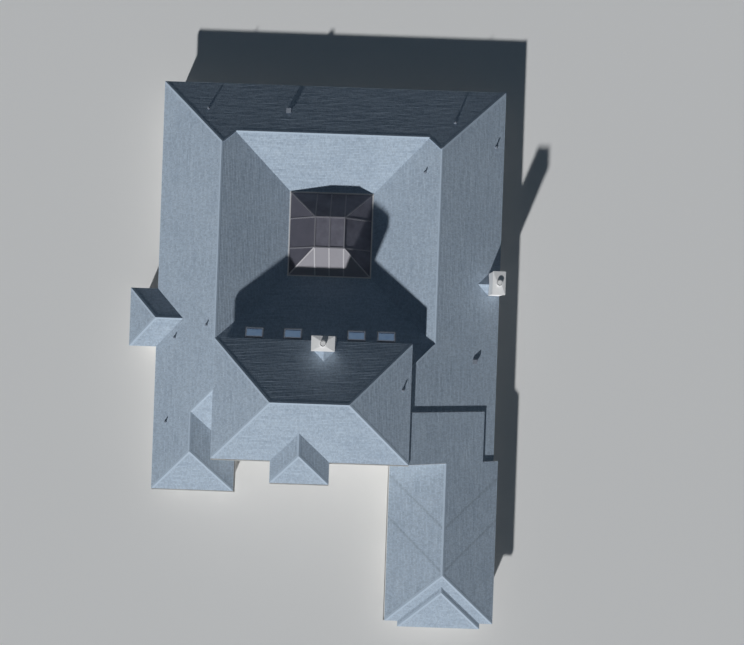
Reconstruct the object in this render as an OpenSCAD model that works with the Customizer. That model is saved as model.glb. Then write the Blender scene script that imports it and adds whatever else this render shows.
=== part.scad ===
// Courtyard house at half scale: one storey wings round a screened court, a tall middle block, a garage wing.
// The origin is the middle of the footprint on the ground. +Y is the back of the house, +X is to the right
// as seen from the street, +Z is up. Roof edges, or eaves, give the plan, and walls stand in from them.

/* [House plan] */
// Width over the eaves of both side wings
house_w = 14050; // [13650:10:14450]
// Width of each side wing over its eaves
wing_w = 5300; // [5000:10:5500]
// Depth of the back wing over its eaves
back_d = 4350; // [4000:10:4700]
// Length of the open court between eaves
court_l = 3490; // [3200:10:3900]
// Depth of the covered terrace roof up to the middle block's eaves
terrace_d = 2610; // [2450:10:2700]

/* [Middle block] */
// Width of the tall middle block over its eaves
block_w = 7725; // [7500:5:7950]
// Depth of the tall middle block over its eaves
block_d = 4715; // [4500:5:4900]
// From the left eaves of the house to those of the middle block
block_in = 2740; // [2600:10:2900]
// Rise of the block's eaves above those of the wings
block_rise = 1960; // [1940:10:2100]

/* [Porch] */
// Width of the porch roof over its eaves
porch_w = 2310; // [2100:10:2600]
// How far the porch stands out from the block's eaves
porch_out = 865; // [700:5:1000]
// From the left eaves of the house to the middle of the porch
porch_in = 6220; // [6000:10:6400]

/* [Front wing and side bay] */
// Width of the front wing over its eaves
front_w = 3375; // [3200:5:3500]
// How far the front wing stands out from the block's eaves
front_out = 1605; // [1400:5:1800]
// Width of the side bay over its eaves
bay_w = 2390; // [2200:10:2600]
// How far the side bay stands out from the wing's eaves
bay_out = 1110; // [950:10:1200]
// From the back eaves to the side bay
bay_in = 8545; // [8300:5:8800]

/* [Garage] */
// Width of the garage roof over its eaves
garage_w = 4450; // [4350:10:4600]
// Length of the garage in front of the block's eaves
garage_l = 6715; // [6500:5:7000]
// From the left eaves of the house to those of the garage
garage_in = 9785; // [9700:5:9900]
// Width of the garage's front bay over its eaves
nose_w = 3380; // [3200:10:3500]
// How far the garage's front bay stands out
nose_out = 225; // [150:5:300]

/* [Link roof] */
// Width of the raised roof beside the block
link_w = 3105; // [2900:5:3200]
// Length of the raised roof beside the block
link_l = 2040; // [1900:10:2200]

/* [Heights and thicknesses] */
// Height of the wings' roof edge above the ground
eave_h = 1500; // [1420:10:1600]
// Rise of every roof for each unit of run
pitch = 0.5; // [0.48:0.01:0.5]
// Upright thickness of the roof deck
roof_t = 60; // [50:5:80]
// How far the eaves stand out from the walls
overhang = 250; // [220:5:280]
// Width of the gutters
gutter_w = 60; // [50:2:80]
// Thickness of the gutters' metal
gutter_t = 5; // [4:1:8]
// Width of the downspouts
spout_w = 45; // [35:5:60]
// Thickness of the walls
wall_t = 100; // [80:5:120]
// Height of the board along the roof edge
fascia_h = 120; // [100:5:140]
// Thickness of that board
fascia_t = 15; // [12:1:20]
// Thickness of the board that closes the eaves from below
soffit_t = 12; // [10:1:16]
// Thickness of the floor slab
floor_t = 75; // [60:5:100]

/* [Windows and doors] */
// Width of an ordinary window
window_w = 600; // [500:10:700]
// Height of an ordinary window
window_h = 700; // [600:10:750]
// Height of the window sills above the floor
sill_h = 350; // [300:10:380]
// Width of a wide window
wide_w = 1100; // [900:10:1200]
// Width of a glazed garden door
garden_w = 1200; // [1000:10:1300]
// Height of doors above the floor
door_h = 1060; // [1000:5:1080]
// Width of the pair of front doors
entry_w = 920; // [850:10:1000]
// Height of the front doors
entry_h = 1200; // [1100:10:1300]
// Height of the wall between the front doors and their upper window
transom_gap = 120; // [80:10:160]
// Height of the window above the front doors
transom_h = 600; // [450:10:650]
// Height of the upper windows' sills above the wings' eaves
upper_sill = 700; // [600:10:800]
// Height of the upper windows
upper_h = 650; // [500:10:700]
// Width of a garage door
roller_w = 1350; // [1250:10:1450]
// Width of the window frames' bars as seen from the front
frame_w = 32; // [25:1:40]
// Depth of the window frames
frame_d = 50; // [40:1:60]
// Thickness of the panes
pane_t = 8; // [6:1:12]
// How far the frames and doors stand back from the wall's face
frame_in = 20; // [10:1:25]
// Depth of the doors' sunk panels
panel_d = 8; // [5:1:12]
// Number of sections in a garage door
roller_parts = 4; // [3:1:5]

/* [Posts and columns] */
// Side of the terrace posts
post_t = 120; // [100:5:150]
// Height of the beam on the terrace posts
post_beam_h = 170; // [140:5:200]
// Diameter of the porch columns at the foot
column_d = 190; // [160:5:210]

/* [Chimneys] */
// Width of the chimney behind the block
chimney_l = 853; // [800:1:900]
// Depth of the chimney behind the block
chimney_d = 548; // [500:1:600]
// Height of the chimney behind the block above its eaves
chimney_top = 1130; // [1000:10:1250]
// From the left eaves of the house to the middle of the chimney behind the block
chimney_in = 7037; // [6900:1:7100]
// Length of the side chimney
side_chimney_l = 890; // [820:5:950]
// Depth of the side chimney
side_chimney_d = 470; // [400:5:540]
// Height of the side chimney above the wing's eaves
side_chimney_top = 1600; // [1400:10:1900]
// From the back eaves to the middle of the side chimney
side_chimney_in = 7935; // [7800:5:8100]
// How far the side chimney stands out from the wall
side_chimney_out = 225; // [180:5:240]
// Upright edge of the chimney caps
cap_t = 50; // [40:5:70]
// How far the caps stand out round the chimneys
cap_out = 20; // [10:1:30]
// Inner diameter of the flues
flue_d = 200; // [160:5:220]
// Thickness of the flue pots
flue_t = 15; // [10:1:20]
// Height of the flue pots above the caps' edge
flue_h = 130; // [90:5:160]

/* [Skylights and vents] */
// Width of a skylight
skylight_w = 680; // [600:10:720]
// Length of a skylight along the slope
skylight_l = 390; // [340:10:440]
// Height of a skylight above the slope
skylight_h = 60; // [45:5:80]
// Width of a skylight's rim
skylight_rim = 40; // [30:2:50]
// From the court's eaves to the middle of the skylights
skylight_in = 2380; // [2300:5:2400]
// From the left eaves of the house to the middle of each skylight
skylight_places = [4186, 5719, 8253, 9443]; // [4100:1:9500]
// Diameter of the vent pipes
pipe_d = 50; // [40:2:60]
// Height of the vent pipes above the slope
pipe_h = 150; // [120:5:200]
// Diameter of the flashings round the vent pipes
flashing_d = 130; // [110:5:160]
// Side of the flat roof vents
vent_w = 160; // [140:5:200]
// Height of the flat roof vents above the slope
vent_h = 70; // [55:5:90]

/* [Screen roof] */
// Rise of the screen roof's flat top above the eaves
screen_rise = 900; // [700:10:1100]
// Run of each sloping side
screen_side = 1110; // [1000:10:1200]
// Thickness of its beams
beam_t = 50; // [40:1:60]
// Thickness of the screen cloth
screen_t = 4; // [3:1:6]

/* [Hidden] */

// Plan lines from the left and the back, with the whole footprint centred on the origin
total_w = bay_out + max(house_w, garage_in + garage_w);
total_l = back_d + court_l + terrace_d + block_d + garage_l + nose_out;
left = bay_out - total_w / 2;
right = left + house_w;
back = total_l / 2;
court_left = left + wing_w;
court_right = right - wing_w;
court_back = back - back_d;
court_front = court_back - court_l;
block_back = court_front - terrace_d;
block_front = block_back - block_d;
block_left = left + block_in;
block_right = block_left + block_w;
front_right = left + front_w;
front_edge = block_front - front_out;
bay_back = back - bay_in;
bay_front = bay_back - bay_w;
bay_left = left - bay_out;
garage_left = left + garage_in;
garage_right = garage_left + garage_w;
garage_front = block_front - garage_l;
garage_mid = (garage_left + garage_right) / 2;
nose_front = garage_front - nose_out;
porch_mid = left + porch_in;
porch_front = block_front - porch_out;
link_right = block_right + link_w;
link_back = block_front + link_l;
link_rise = max(roof_t, (garage_right - right) * pitch); // so that it runs on in line with the garage's slope

// Heights
block_eave = eave_h + block_rise;
wall_top = eave_h - roof_t + overhang * pitch;
block_wall_top = block_eave - roof_t + overhang * pitch;
far = 2000; // longer than any roof runs on inside another
top_z = block_eave + block_d; // above everything

// A box between two corners
module box(x0, x1, y0, y1, z0, z1) {
    translate([x0, y0, z0]) cube([x1 - x0, y1 - y0, z1 - z0]);
}

// Cross-section of a roof with eaves at a and b, edge height z and an upright edge of the given depth
function section(a, b, z, depth) = [
    [a, z - depth], [b, z - depth], [b, z], [(a + b) / 2, z + (b - a) / 2 * pitch], [a, z]];

// Solid under a hip roof
module hip(x0, x1, y0, y1, z, depth) {
    intersection() {
        translate([0, y1, 0]) rotate([90, 0, 0]) linear_extrude(y1 - y0) polygon(section(x0, x1, z, depth));
        translate([x0, 0, 0]) rotate([90, 0, 90]) linear_extrude(x1 - x0) polygon(section(y0, y1, z, depth));
    }
}

// Solid under the slope beside the block, which runs on to the block's wall with no ridge of its own
module right_run(z, depth) {
    intersection() {
        hip(left, right, block_front - house_w, court_front, z, depth);
        box((block_left + block_right) / 2, right, block_front, court_front, 0, top_z);
    }
}

// Solid under all roofs of one storey, with their edge at height z
module low_form(z, depth) {
    union() {
        hip(left, court_left, block_front, back, z, depth);
        hip(left, right, court_back, back, z, depth);
        intersection() {
            hip(left, right, block_front, court_front, z, depth);
            box(left, block_right, block_front, court_front, 0, top_z);
        }
        hip(court_right, right, block_front - far, back, z, depth);
        right_run(z, depth);
    }
}

// Solid under the front wing's roof
module front_form(z, depth) {
    hip(left, front_right, front_edge, block_back, z, depth);
}

// Solid under the side bay's roof
module bay_form(z, depth) {
    hip(bay_left, court_left, bay_front, bay_back, z, depth);
}

// Solid under the garage roof and its front bay
module garage_form(z, depth) {
    union() {
        hip(garage_left, garage_right, garage_front, block_front + garage_w, z, depth);
        hip(garage_mid - nose_w / 2, garage_mid + nose_w / 2, nose_front, block_front + garage_w, z, depth);
    }
}

// Solid under the roofs of the block and the porch
module block_form(z, depth) {
    union() {
        hip(block_left, block_right, block_front, block_back, z, depth);
        hip(porch_mid - porch_w / 2, porch_mid + porch_w / 2, porch_front, block_back, z, depth);
    }
}

// Upright prism over a plan outline
module prism(points) {
    linear_extrude(top_z) polygon(points);
}

// Plan outlines of the roofs, which meet along valleys and hips
ridge_left = [left + wing_w / 2, back - wing_w / 2];
ridge_right = [right - wing_w / 2, back - wing_w / 2];
hip_left = [court_left - back_d / 2, back - back_d / 2];
hip_right = [court_right + back_d / 2, back - back_d / 2];
valley_left = [court_left - terrace_d, block_back];
valley_right = [court_right + terrace_d, block_back];
front_valley = [left + front_w / 2, block_front + front_w / 2];
block_wall_left = block_left + overhang;
block_wall_right = block_right - overhang;
block_wall_back = block_back - overhang;
block_wall_front = block_front + overhang;

back_plan = [[left, back], ridge_left, hip_left, [court_left, court_back], [court_right, court_back],
    hip_right, ridge_right, [right, back]];
left_plan = [[left, back], [left, bay_back], [left + bay_w / 2, (bay_back + bay_front) / 2],
    [left, bay_front], [left, block_front], front_valley,
    [front_right - overhang, block_wall_front], [front_right - overhang, block_wall_back],
    [block_wall_left, block_wall_back], valley_left, [court_left, court_front], [court_left, court_back],
    hip_left, ridge_left];
terrace_plan = [[court_left, court_front], valley_left, [block_wall_left, block_wall_back],
    [block_wall_right, block_wall_back], valley_right, [court_right, court_front]];
right_plan = [[right, back], ridge_right, hip_right, [court_right, court_back], [court_right, court_front],
    valley_right, [block_wall_right, block_wall_back], [block_wall_right, block_front], [right, block_front]];
front_plan = [[left, front_edge], [front_right, front_edge], [front_right, block_wall_front],
    [front_right - overhang, block_wall_front], front_valley, [left, block_front]];
bay_plan = [[bay_left, bay_back], [bay_left, bay_front], [left, bay_front],
    [left + bay_w / 2, (bay_back + bay_front) / 2], [left, bay_back]];
garage_plan = [[garage_left, nose_front], [garage_right, nose_front], [garage_right, block_front],
    [block_wall_right - wall_t, block_front], [block_wall_right - wall_t, block_wall_front],
    [garage_left, block_wall_front]];
porch_valley = [porch_mid, block_front + porch_w / 2];
porch_plan = [[porch_mid - porch_w / 2, porch_front], [porch_mid + porch_w / 2, porch_front],
    [porch_mid + porch_w / 2, block_front], porch_valley, [porch_mid - porch_w / 2, block_front]];

// What the tall block and the chimneys take out of the lower roofs
module block_space() {
    box(block_wall_left, block_wall_right, block_wall_front, block_wall_back, 0, top_z);
    box(block_left, block_right, block_front, block_back, block_eave - fascia_h, top_z);
}

// Chimneys: the back one stands flush inside the block's back wall, the side one through the right wall
back_chimney_x = left + chimney_in;
back_chimney_y = block_wall_back - wall_t + chimney_d / 2;
side_chimney_x = right - overhang + side_chimney_out - side_chimney_d / 2;
side_chimney_y = back - side_chimney_in;

module back_shaft() {
    box(back_chimney_x - chimney_l / 2, back_chimney_x + chimney_l / 2,
        back_chimney_y - chimney_d / 2, back_chimney_y + chimney_d / 2, floor_t, block_eave + chimney_top);
}

module side_shaft() {
    box(side_chimney_x - side_chimney_d / 2, side_chimney_x + side_chimney_d / 2,
        side_chimney_y - side_chimney_l / 2, side_chimney_y + side_chimney_l / 2,
        0, eave_h + side_chimney_top);
}

// Middle of each skylight on the terrace roof
skylight_y = court_front - skylight_in;
skylight_xs = [for (x = skylight_places) left + x];

// Turns a child drawn flat, with its origin on the terrace slope, to lie along that slope
module on_terrace(x) {
    translate([x, skylight_y, eave_h + skylight_in * pitch]) rotate([-atan(pitch), 0, 0]) children();
}

// One deck of the lower roofs inside a plan outline
module low_deck(points) {
    difference() {
        intersection() {
            low_form(eave_h, roof_t);
            prism(points);
        }
        low_form(eave_h - roof_t, roof_t);
        block_space();
        back_shaft();
        side_shaft();
    }
}

module back_roof() color("slategray") low_deck(back_plan);
module left_roof() color("slategray") low_deck(left_plan);
module right_roof() color("slategray") low_deck(right_plan);

module terrace_roof() color("slategray") difference() {
    low_deck(terrace_plan);
    for (x = skylight_xs) on_terrace(x)
        box(-skylight_w / 2 + skylight_rim, skylight_w / 2 - skylight_rim,
            -skylight_l / 2 + skylight_rim, skylight_l / 2 - skylight_rim, -2 * roof_t, roof_t);
}

module front_wing_roof() color("slategray") difference() {
    intersection() {
        front_form(eave_h, roof_t);
        prism(front_plan);
    }
    front_form(eave_h - roof_t, roof_t);
    block_space();
}

module bay_roof() color("slategray") difference() {
    intersection() {
        bay_form(eave_h, roof_t);
        prism(bay_plan);
    }
    bay_form(eave_h - roof_t, roof_t);
}

module garage_roof() color("slategray") difference() {
    intersection() {
        garage_form(eave_h, roof_t);
        prism(garage_plan);
    }
    garage_form(eave_h - roof_t, roof_t);
}

module block_roof() color("slategray") difference() {
    block_form(block_eave, roof_t);
    block_form(block_eave - roof_t, roof_t);
    prism(porch_plan);
    back_shaft();
}

module porch_roof() color("slategray") difference() {
    intersection() {
        block_form(block_eave, roof_t);
        prism(porch_plan);
    }
    block_form(block_eave - roof_t, roof_t);
}

// Raised roof beside the block: a deck on low upright sides that stand on the slope below
module link_roof() color("slategray") difference() {
    intersection() {
        right_run(eave_h + link_rise, roof_t + link_rise);
        box(block_wall_right, link_right, block_front, link_back, 0, top_z);
    }
    right_run(eave_h, roof_t + link_rise);
    block_space();
}

// Eaves: an upright board under the roof edge and a flat one back to the wall
function wing_outline(i) = [
    [left + i, back - i], [right - i, back - i], [right - i, block_front - i],
    [garage_right - i, block_front - i],
    [garage_right - i, garage_front + i], [garage_mid + nose_w / 2 - i, garage_front + i],
    [garage_mid + nose_w / 2 - i, nose_front + i], [garage_mid - nose_w / 2 + i, nose_front + i],
    [garage_mid - nose_w / 2 + i, garage_front + i], [garage_left + i, garage_front + i],
    [garage_left + i, block_wall_front], [front_right - i, block_wall_front],
    [front_right - i, front_edge + i],
    [left + i, front_edge + i], [left + i, bay_front + i], [bay_left + i, bay_front + i],
    [bay_left + i, bay_back - i], [left + i, bay_back - i]];

function court_outline(i) = [
    [court_left - i, court_back + i], [court_right + i, court_back + i],
    [court_right + i, court_front - i], [court_left - i, court_front - i]];

// Ring between two insets of the wings' outer outline and of the court
module eave_ring(outer, inner, z0, z1) {
    translate([0, 0, z0]) linear_extrude(z1 - z0) {
        difference() {
            polygon(wing_outline(outer));
            polygon(wing_outline(inner));
        }
        difference() {
            polygon(court_outline(inner));
            polygon(court_outline(outer));
        }
    }
}

module wing_eaves() color("white") difference() {
    union() {
        eave_ring(0, fascia_t, eave_h - fascia_h, eave_h - roof_t);
        eave_ring(fascia_t, overhang, eave_h - fascia_h, eave_h - fascia_h + soffit_t);
        rake_board();
        step_board();
    }
    side_shaft();
}

// Sloping board on the raised roof's end, which stands over the garage's left slope
module rake_board() {
    difference() {
        intersection() {
            right_slope(eave_h + link_rise);
            box(block_right, garage_mid, block_front - fascia_t, block_front, 0, top_z);
        }
        right_slope(eave_h - roof_t - fascia_t);
        garage_form(eave_h, far);
    }
}

// Board that closes the step between the slope beside the block and the garage roof, which is a little higher
module step_board() {
    difference() {
        intersection() {
            garage_form(eave_h - roof_t, far);
            box(garage_mid, right, block_front - fascia_t, block_front, eave_h - fascia_h, top_z);
        }
        garage_form(eave_h - roof_t - fascia_h, far);
        box(wall_right - wall_t, wall_right, block_front - overhang, block_front, 0, wall_top);
    }
}

// All that lies under the slope beside the block, run on past its end
module right_slope(z) {
    translate([right, block_front + far, 0]) rotate([90, 0, 0]) linear_extrude(far * 2)
        polygon([[0, 0], [0, z], [block_left - right, z + (right - block_left) * pitch],
            [block_left - right, 0]]);
}

function block_outline(i) = [
    [block_left + i, block_back - i], [block_right - i, block_back - i], [block_right - i, block_front + i],
    [porch_mid + porch_w / 2 - i, block_front + i], [porch_mid + porch_w / 2 - i, porch_front + i],
    [porch_mid - porch_w / 2 + i, porch_front + i], [porch_mid - porch_w / 2 + i, block_front + i],
    [block_left + i, block_front + i]];

module block_eaves() color("white") difference() {
    union() {
        translate([0, 0, block_eave - fascia_h]) linear_extrude(fascia_h - roof_t) difference() {
            polygon(block_outline(0));
            polygon(block_outline(fascia_t));
        }
        translate([0, 0, block_eave - fascia_h]) linear_extrude(soffit_t) difference() {
            polygon(block_outline(fascia_t));
            polygon([[block_wall_left, block_wall_front], [block_wall_right, block_wall_front],
                [block_wall_right, block_wall_back], [block_wall_left, block_wall_back]]);
        }
    }
    back_shaft();
}

// Floors
module floor_slab() color("lightgray") difference() {
    union() {
        linear_extrude(floor_t) difference() {
            polygon(wing_outline(overhang));
            polygon(court_outline(0));
        }
        box(porch_mid - porch_w / 2 + overhang, porch_mid + porch_w / 2 - overhang,
            porch_front + overhang, block_wall_front + wall_t, 0, floor_t);
    }
    side_shaft();
}

module court_deck() color("tan") linear_extrude(floor_t) polygon(court_outline(0));

// Openings in the walls: [x, y, turn, width, bottom, top], with turn 0 in a wall that faces the street
function spread(a, b, n) = [for (i = [0 : n - 1]) a + (b - a) * (i + 0.5) / n];
window_z = [floor_t + sill_h, floor_t + sill_h + window_h];
door_z = [floor_t, floor_t + door_h];
wall_left = left + overhang;
wall_right = right - overhang;
wall_back = back - overhang;
garage_wall_left = garage_left + overhang;
garage_wall_right = garage_right - overhang;

back_windows = [for (x = spread(wall_left, wall_right, 7))
    [x, wall_back, 180, window_w, window_z[0], window_z[1]]];
left_windows = [for (y = concat(spread(bay_back, wall_back, 4), spread(front_edge + overhang, bay_front, 3)))
    [wall_left, y, 270, window_w, window_z[0], window_z[1]]];
bay_windows = [[bay_left + overhang, (bay_back + bay_front) / 2, 270, wide_w, window_z[0], window_z[1]]];
right_windows = [for (y = concat(spread(side_chimney_y + side_chimney_l / 2, wall_back, 3),
        spread(block_wall_front, side_chimney_y - side_chimney_l / 2, 3)))
    [wall_right, y, 90, window_w, window_z[0], window_z[1]]];
garage_windows = concat(
    [for (y = spread(garage_front + overhang, block_front, 3))
        [garage_wall_right, y, 90, window_w, window_z[0], window_z[1]]],
    [for (x = spread(garage_mid - nose_w / 2 + overhang, garage_mid + nose_w / 2 - overhang, 2))
        [x, nose_front + overhang, 0, window_w, window_z[0], window_z[1]]]);
front_wing_windows = [[(left + front_right) / 2, front_edge + overhang, 0, wide_w, window_z[0], window_z[1]]];
entry_windows = [for (x = concat(
        spread(max(front_right - overhang, block_wall_left), porch_mid - porch_w / 2, 2),
        spread(porch_mid + porch_w / 2, min(garage_wall_left, block_wall_right), 2)))
    [x, block_wall_front, 0, window_w, window_z[0], window_z[1]]];
upper_windows = [for (w = entry_windows)
    [w[0], w[1], 0, window_w, eave_h + upper_sill, eave_h + upper_sill + upper_h]];
entry_opening = [[porch_mid, block_wall_front, 0, entry_w, floor_t, floor_t + entry_h]];
transom_z = floor_t + entry_h + transom_gap;
transom_opening = [[porch_mid, block_wall_front, 0, entry_w, transom_z, transom_z + transom_h]];
roller_openings = [for (y = spread(garage_front + overhang, block_wall_front, 3))
    [garage_wall_left, y, 270, roller_w, floor_t, floor_t + door_h]];
court_openings = concat(
    [for (x = spread(court_left, court_right, 2))
        [x, court_back + overhang, 0, garden_w, door_z[0], door_z[1]]],
    [for (y = spread(court_front, court_back, 2))
        [court_left - overhang, y, 90, garden_w, door_z[0], door_z[1]]],
    [for (y = spread(court_front, court_back, 2))
        [court_right + overhang, y, 270, garden_w, door_z[0], door_z[1]]]);
terrace_openings = [for (x = [(court_left - overhang + back_chimney_x - chimney_l / 2) / 2,
        (court_right + overhang + back_chimney_x + chimney_l / 2) / 2])
    [x, block_wall_back, 180, garden_w, door_z[0], door_z[1]]];

// Draws its children at an opening, with x along the wall, y into it from its outer face, z up
module at_opening(o) {
    translate([o[0], o[1], 0]) rotate(o[2]) children();
}

module holes(list) {
    for (o = list) at_opening(o) box(-o[3] / 2, o[3] / 2, -1, wall_t + 1, o[4], o[5]);
}

// Frame with a number of panes across and up
module frames(list, across, up) {
    for (o = list) at_opening(o) difference() {
        box(-o[3] / 2, o[3] / 2, frame_in, frame_in + frame_d, o[4], o[5]);
        cells(o, across, up, 0, wall_t);
    }
}

module panes(list, across, up) {
    for (o = list) at_opening(o)
        cells(o, across, up, frame_in + (frame_d - pane_t) / 2, frame_in + (frame_d + pane_t) / 2);
}

// The fields that a frame's bars leave open, as boxes from depth y0 to y1
module cells(o, across, up, y0, y1) {
    w = (o[3] - frame_w) / across;
    h = (o[5] - o[4] - frame_w) / up;
    for (i = [0 : across - 1], j = [0 : up - 1])
        translate([-o[3] / 2 + frame_w + i * w, y0, o[4] + frame_w + j * h])
            cube([w - frame_w, y1 - y0, h - frame_w]);
}

// Walls
module back_wall() color("white") difference() {
    box(wall_left, wall_right, wall_back - wall_t, wall_back, floor_t, wall_top);
    holes(back_windows);
}

module left_walls() color("white") difference() {
    union() {
        box(wall_left, wall_left + wall_t, bay_back - overhang, wall_back - wall_t, floor_t, wall_top);
        box(wall_left, wall_left + wall_t, front_edge + overhang, bay_front + overhang, floor_t, wall_top);
        box(bay_left + overhang, wall_left + wall_t, bay_back - overhang - wall_t, bay_back - overhang,
            floor_t, wall_top);
        box(bay_left + overhang, wall_left + wall_t, bay_front + overhang, bay_front + overhang + wall_t,
            floor_t, wall_top);
        box(bay_left + overhang, bay_left + overhang + wall_t, bay_front + overhang, bay_back - overhang,
            floor_t, wall_top);
    }
    holes(left_windows);
    holes(bay_windows);
}

module front_wing_walls() color("white") difference() {
    union() {
        box(wall_left + wall_t, front_right - overhang, front_edge + overhang, front_edge + overhang + wall_t,
            floor_t, wall_top);
        box(front_right - overhang - wall_t, front_right - overhang, front_edge + overhang, block_wall_front,
            floor_t, wall_top);
    }
    holes(front_wing_windows);
}

module entry_wall() color("white") difference() {
    union() {
        box(front_right - overhang - wall_t, block_wall_right, block_wall_front, block_wall_front + wall_t,
            floor_t, wall_top);
        box(block_wall_left, block_wall_right, block_wall_front, block_wall_front + wall_t,
            wall_top, block_wall_top);
    }
    holes(entry_windows);
    holes(upper_windows);
    holes(entry_opening);
    holes(transom_opening);
}

module right_wall() color("white") difference() {
    box(wall_right - wall_t, wall_right, block_front - overhang, wall_back - wall_t, floor_t, wall_top);
    holes(right_windows);
    side_shaft();
}

module garage_door_wall() color("white") difference() {
    box(garage_wall_left, garage_wall_left + wall_t, garage_front + overhang, block_wall_front,
        floor_t, wall_top);
    holes(roller_openings);
}

module garage_walls() color("white") difference() {
    union() {
        box(garage_wall_right - wall_t, garage_wall_right, garage_front + overhang, block_front - overhang,
            floor_t, wall_top);
        box(wall_right - wall_t, garage_wall_right, block_front - overhang - wall_t, block_front - overhang,
            floor_t, wall_top);
        for (side = [-1, 1]) translate([garage_mid, 0, 0]) mirror([side < 0 ? 1 : 0, 0, 0]) {
            box(nose_w / 2 - overhang - wall_t, garage_w / 2 - overhang - wall_t,
                garage_front + overhang, garage_front + overhang + wall_t, floor_t, wall_top);
            box(nose_w / 2 - overhang - wall_t, nose_w / 2 - overhang,
                nose_front + overhang, garage_front + overhang + wall_t, floor_t, wall_top);
        }
        box(garage_mid - nose_w / 2 + overhang, garage_mid + nose_w / 2 - overhang,
            nose_front + overhang, nose_front + overhang + wall_t, floor_t, wall_top);
    }
    holes(garage_windows);
}

// Wall between house and garage, which shows as a gable over the garage's left slope
module garage_back_wall() color("white") difference() {
    intersection() {
        union() {
            box(block_wall_right - wall_t, block_wall_right, block_front, block_wall_front, floor_t, top_z);
            box(block_wall_right - wall_t, wall_right - wall_t, block_front, block_front + wall_t,
                floor_t, top_z);
        }
        right_run(eave_h - roof_t, eave_h);
    }
    box(garage_wall_left, garage_wall_left + wall_t, block_front, block_wall_front, 0, wall_top);
    block_space();
}

module court_walls() color("white") difference() {
    intersection() {
        union() {
            box(court_left - overhang - wall_t, court_right + overhang + wall_t,
                court_back + overhang, court_back + overhang + wall_t, floor_t, wall_top);
            box(court_left - overhang - wall_t, court_left - overhang, block_wall_back,
                court_back + overhang, floor_t, top_z);
            box(court_right + overhang, court_right + overhang + wall_t, block_wall_back,
                court_back + overhang, floor_t, top_z);
        }
        low_form(eave_h - roof_t, eave_h);
    }
    holes(court_openings);
}

module block_back_wall() color("white") difference() {
    box(block_wall_left, block_wall_right, block_wall_back - wall_t, block_wall_back,
        floor_t, block_wall_top);
    holes(terrace_openings);
    back_shaft();
}

module block_side_walls() color("white") {
    for (x = [block_wall_left, block_wall_right - wall_t])
        box(x, x + wall_t, block_wall_front + wall_t, block_wall_back - wall_t, wall_top, block_wall_top);
}

// Posts and columns
post_beam_z = wall_top - post_beam_h;
terrace_w = court_right - court_left + 2 * overhang;
foot_w = post_t * 1.3;

module square_post(w, z0, z1) {
    box(-w / 2, w / 2, -w / 2, w / 2, z0, z1);
}

module terrace_posts() color("white") {
    y = court_front - overhang - post_t / 2;
    for (side = [-1, 1]) translate([(court_left + court_right) / 2 + side * terrace_w / 6, y, 0]) {
        square_post(post_t, floor_t, post_beam_z);
        square_post(foot_w, floor_t, floor_t + post_t);
        square_post(foot_w, eave_h - fascia_h - post_t, eave_h - fascia_h);
    }
    box(court_left - overhang, court_right + overhang, y - post_t / 2, y + post_t / 2, post_beam_z, wall_top);
}

// A round column on a square plinth, with rings at foot and head, drawn from its middle line
column_h = block_eave - fascia_h - floor_t;
plinth_h = column_d / 4;
plinth_w = column_d * 1.3;
ring_r = column_d / 10;
column_top_r = column_d * 0.42;

module column() {
    square_post(plinth_w, 0, plinth_h);
    square_post(plinth_w, column_h - plinth_h, column_h);
    rotate_extrude($fn = 64) union() {
        polygon([[0, plinth_h], [column_d / 2, plinth_h], [column_d / 2, plinth_h + 2 * ring_r],
            [column_d / 2, column_h / 3], [column_top_r, column_h - plinth_h], [0, column_h - plinth_h]]);
        translate([column_d / 2, plinth_h + ring_r]) circle(ring_r, $fn = 32);
        translate([column_top_r, column_h - plinth_h - ring_r]) circle(ring_r, $fn = 32);
    }
}

module porch_columns() color("white") {
    for (side = [-1, 1])
        translate([porch_mid + side * (porch_w / 2 - overhang - plinth_w / 2),
                porch_front + overhang + plinth_w / 2, floor_t])
            column();
}

// Chimneys
module back_chimney() color("white") difference() {
    back_shaft();
    translate([back_chimney_x, back_chimney_y, block_eave])
        cylinder(h = chimney_top + cap_t, d = flue_d, $fn = 48);
}

module side_chimney() color("white") difference() {
    side_shaft();
    translate([side_chimney_x, side_chimney_y, eave_h])
        cylinder(h = side_chimney_top + cap_t, d = flue_d, $fn = 48);
}

// Cross-section of a cap over a chimney of width w: an upright edge, then a slope up to the flue pot
function cap_section(w) = [
    [-w / 2 - cap_out, 0], [w / 2 + cap_out, 0], [w / 2 + cap_out, cap_t],
    [flue_d / 2 + flue_t, cap_t + flue_h / 3], [-flue_d / 2 - flue_t, cap_t + flue_h / 3],
    [-w / 2 - cap_out, cap_t]];

module cap(w, l) {
    difference() {
        union() {
            intersection() {
                translate([0, l, 0]) rotate([90, 0, 0]) linear_extrude(2 * l) polygon(cap_section(w));
                translate([-w, 0, 0]) rotate([90, 0, 90]) linear_extrude(2 * w) polygon(cap_section(l));
            }
            cylinder(h = cap_t + flue_h, d = flue_d + 2 * flue_t, $fn = 48);
        }
        translate([0, 0, -cap_t]) cylinder(h = 3 * cap_t + flue_h, d = flue_d, $fn = 48);
    }
}

module chimney_caps() color("gainsboro") {
    translate([back_chimney_x, back_chimney_y, block_eave + chimney_top]) cap(chimney_l, chimney_d);
    translate([side_chimney_x, side_chimney_y, eave_h + side_chimney_top])
        cap(side_chimney_d, side_chimney_l);
}

// Small saddle roof behind a chimney of width w, whose back stands at height z on the slope.
// Drawn with the chimney's back on the origin and the saddle running to +Y up the slope
module saddle(w, z) {
    rotate([90, 0, 180]) linear_extrude(w / 2) polygon([[-w / 2, z], [w / 2, z], [0, z + w / 2 * pitch]]);
}

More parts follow.
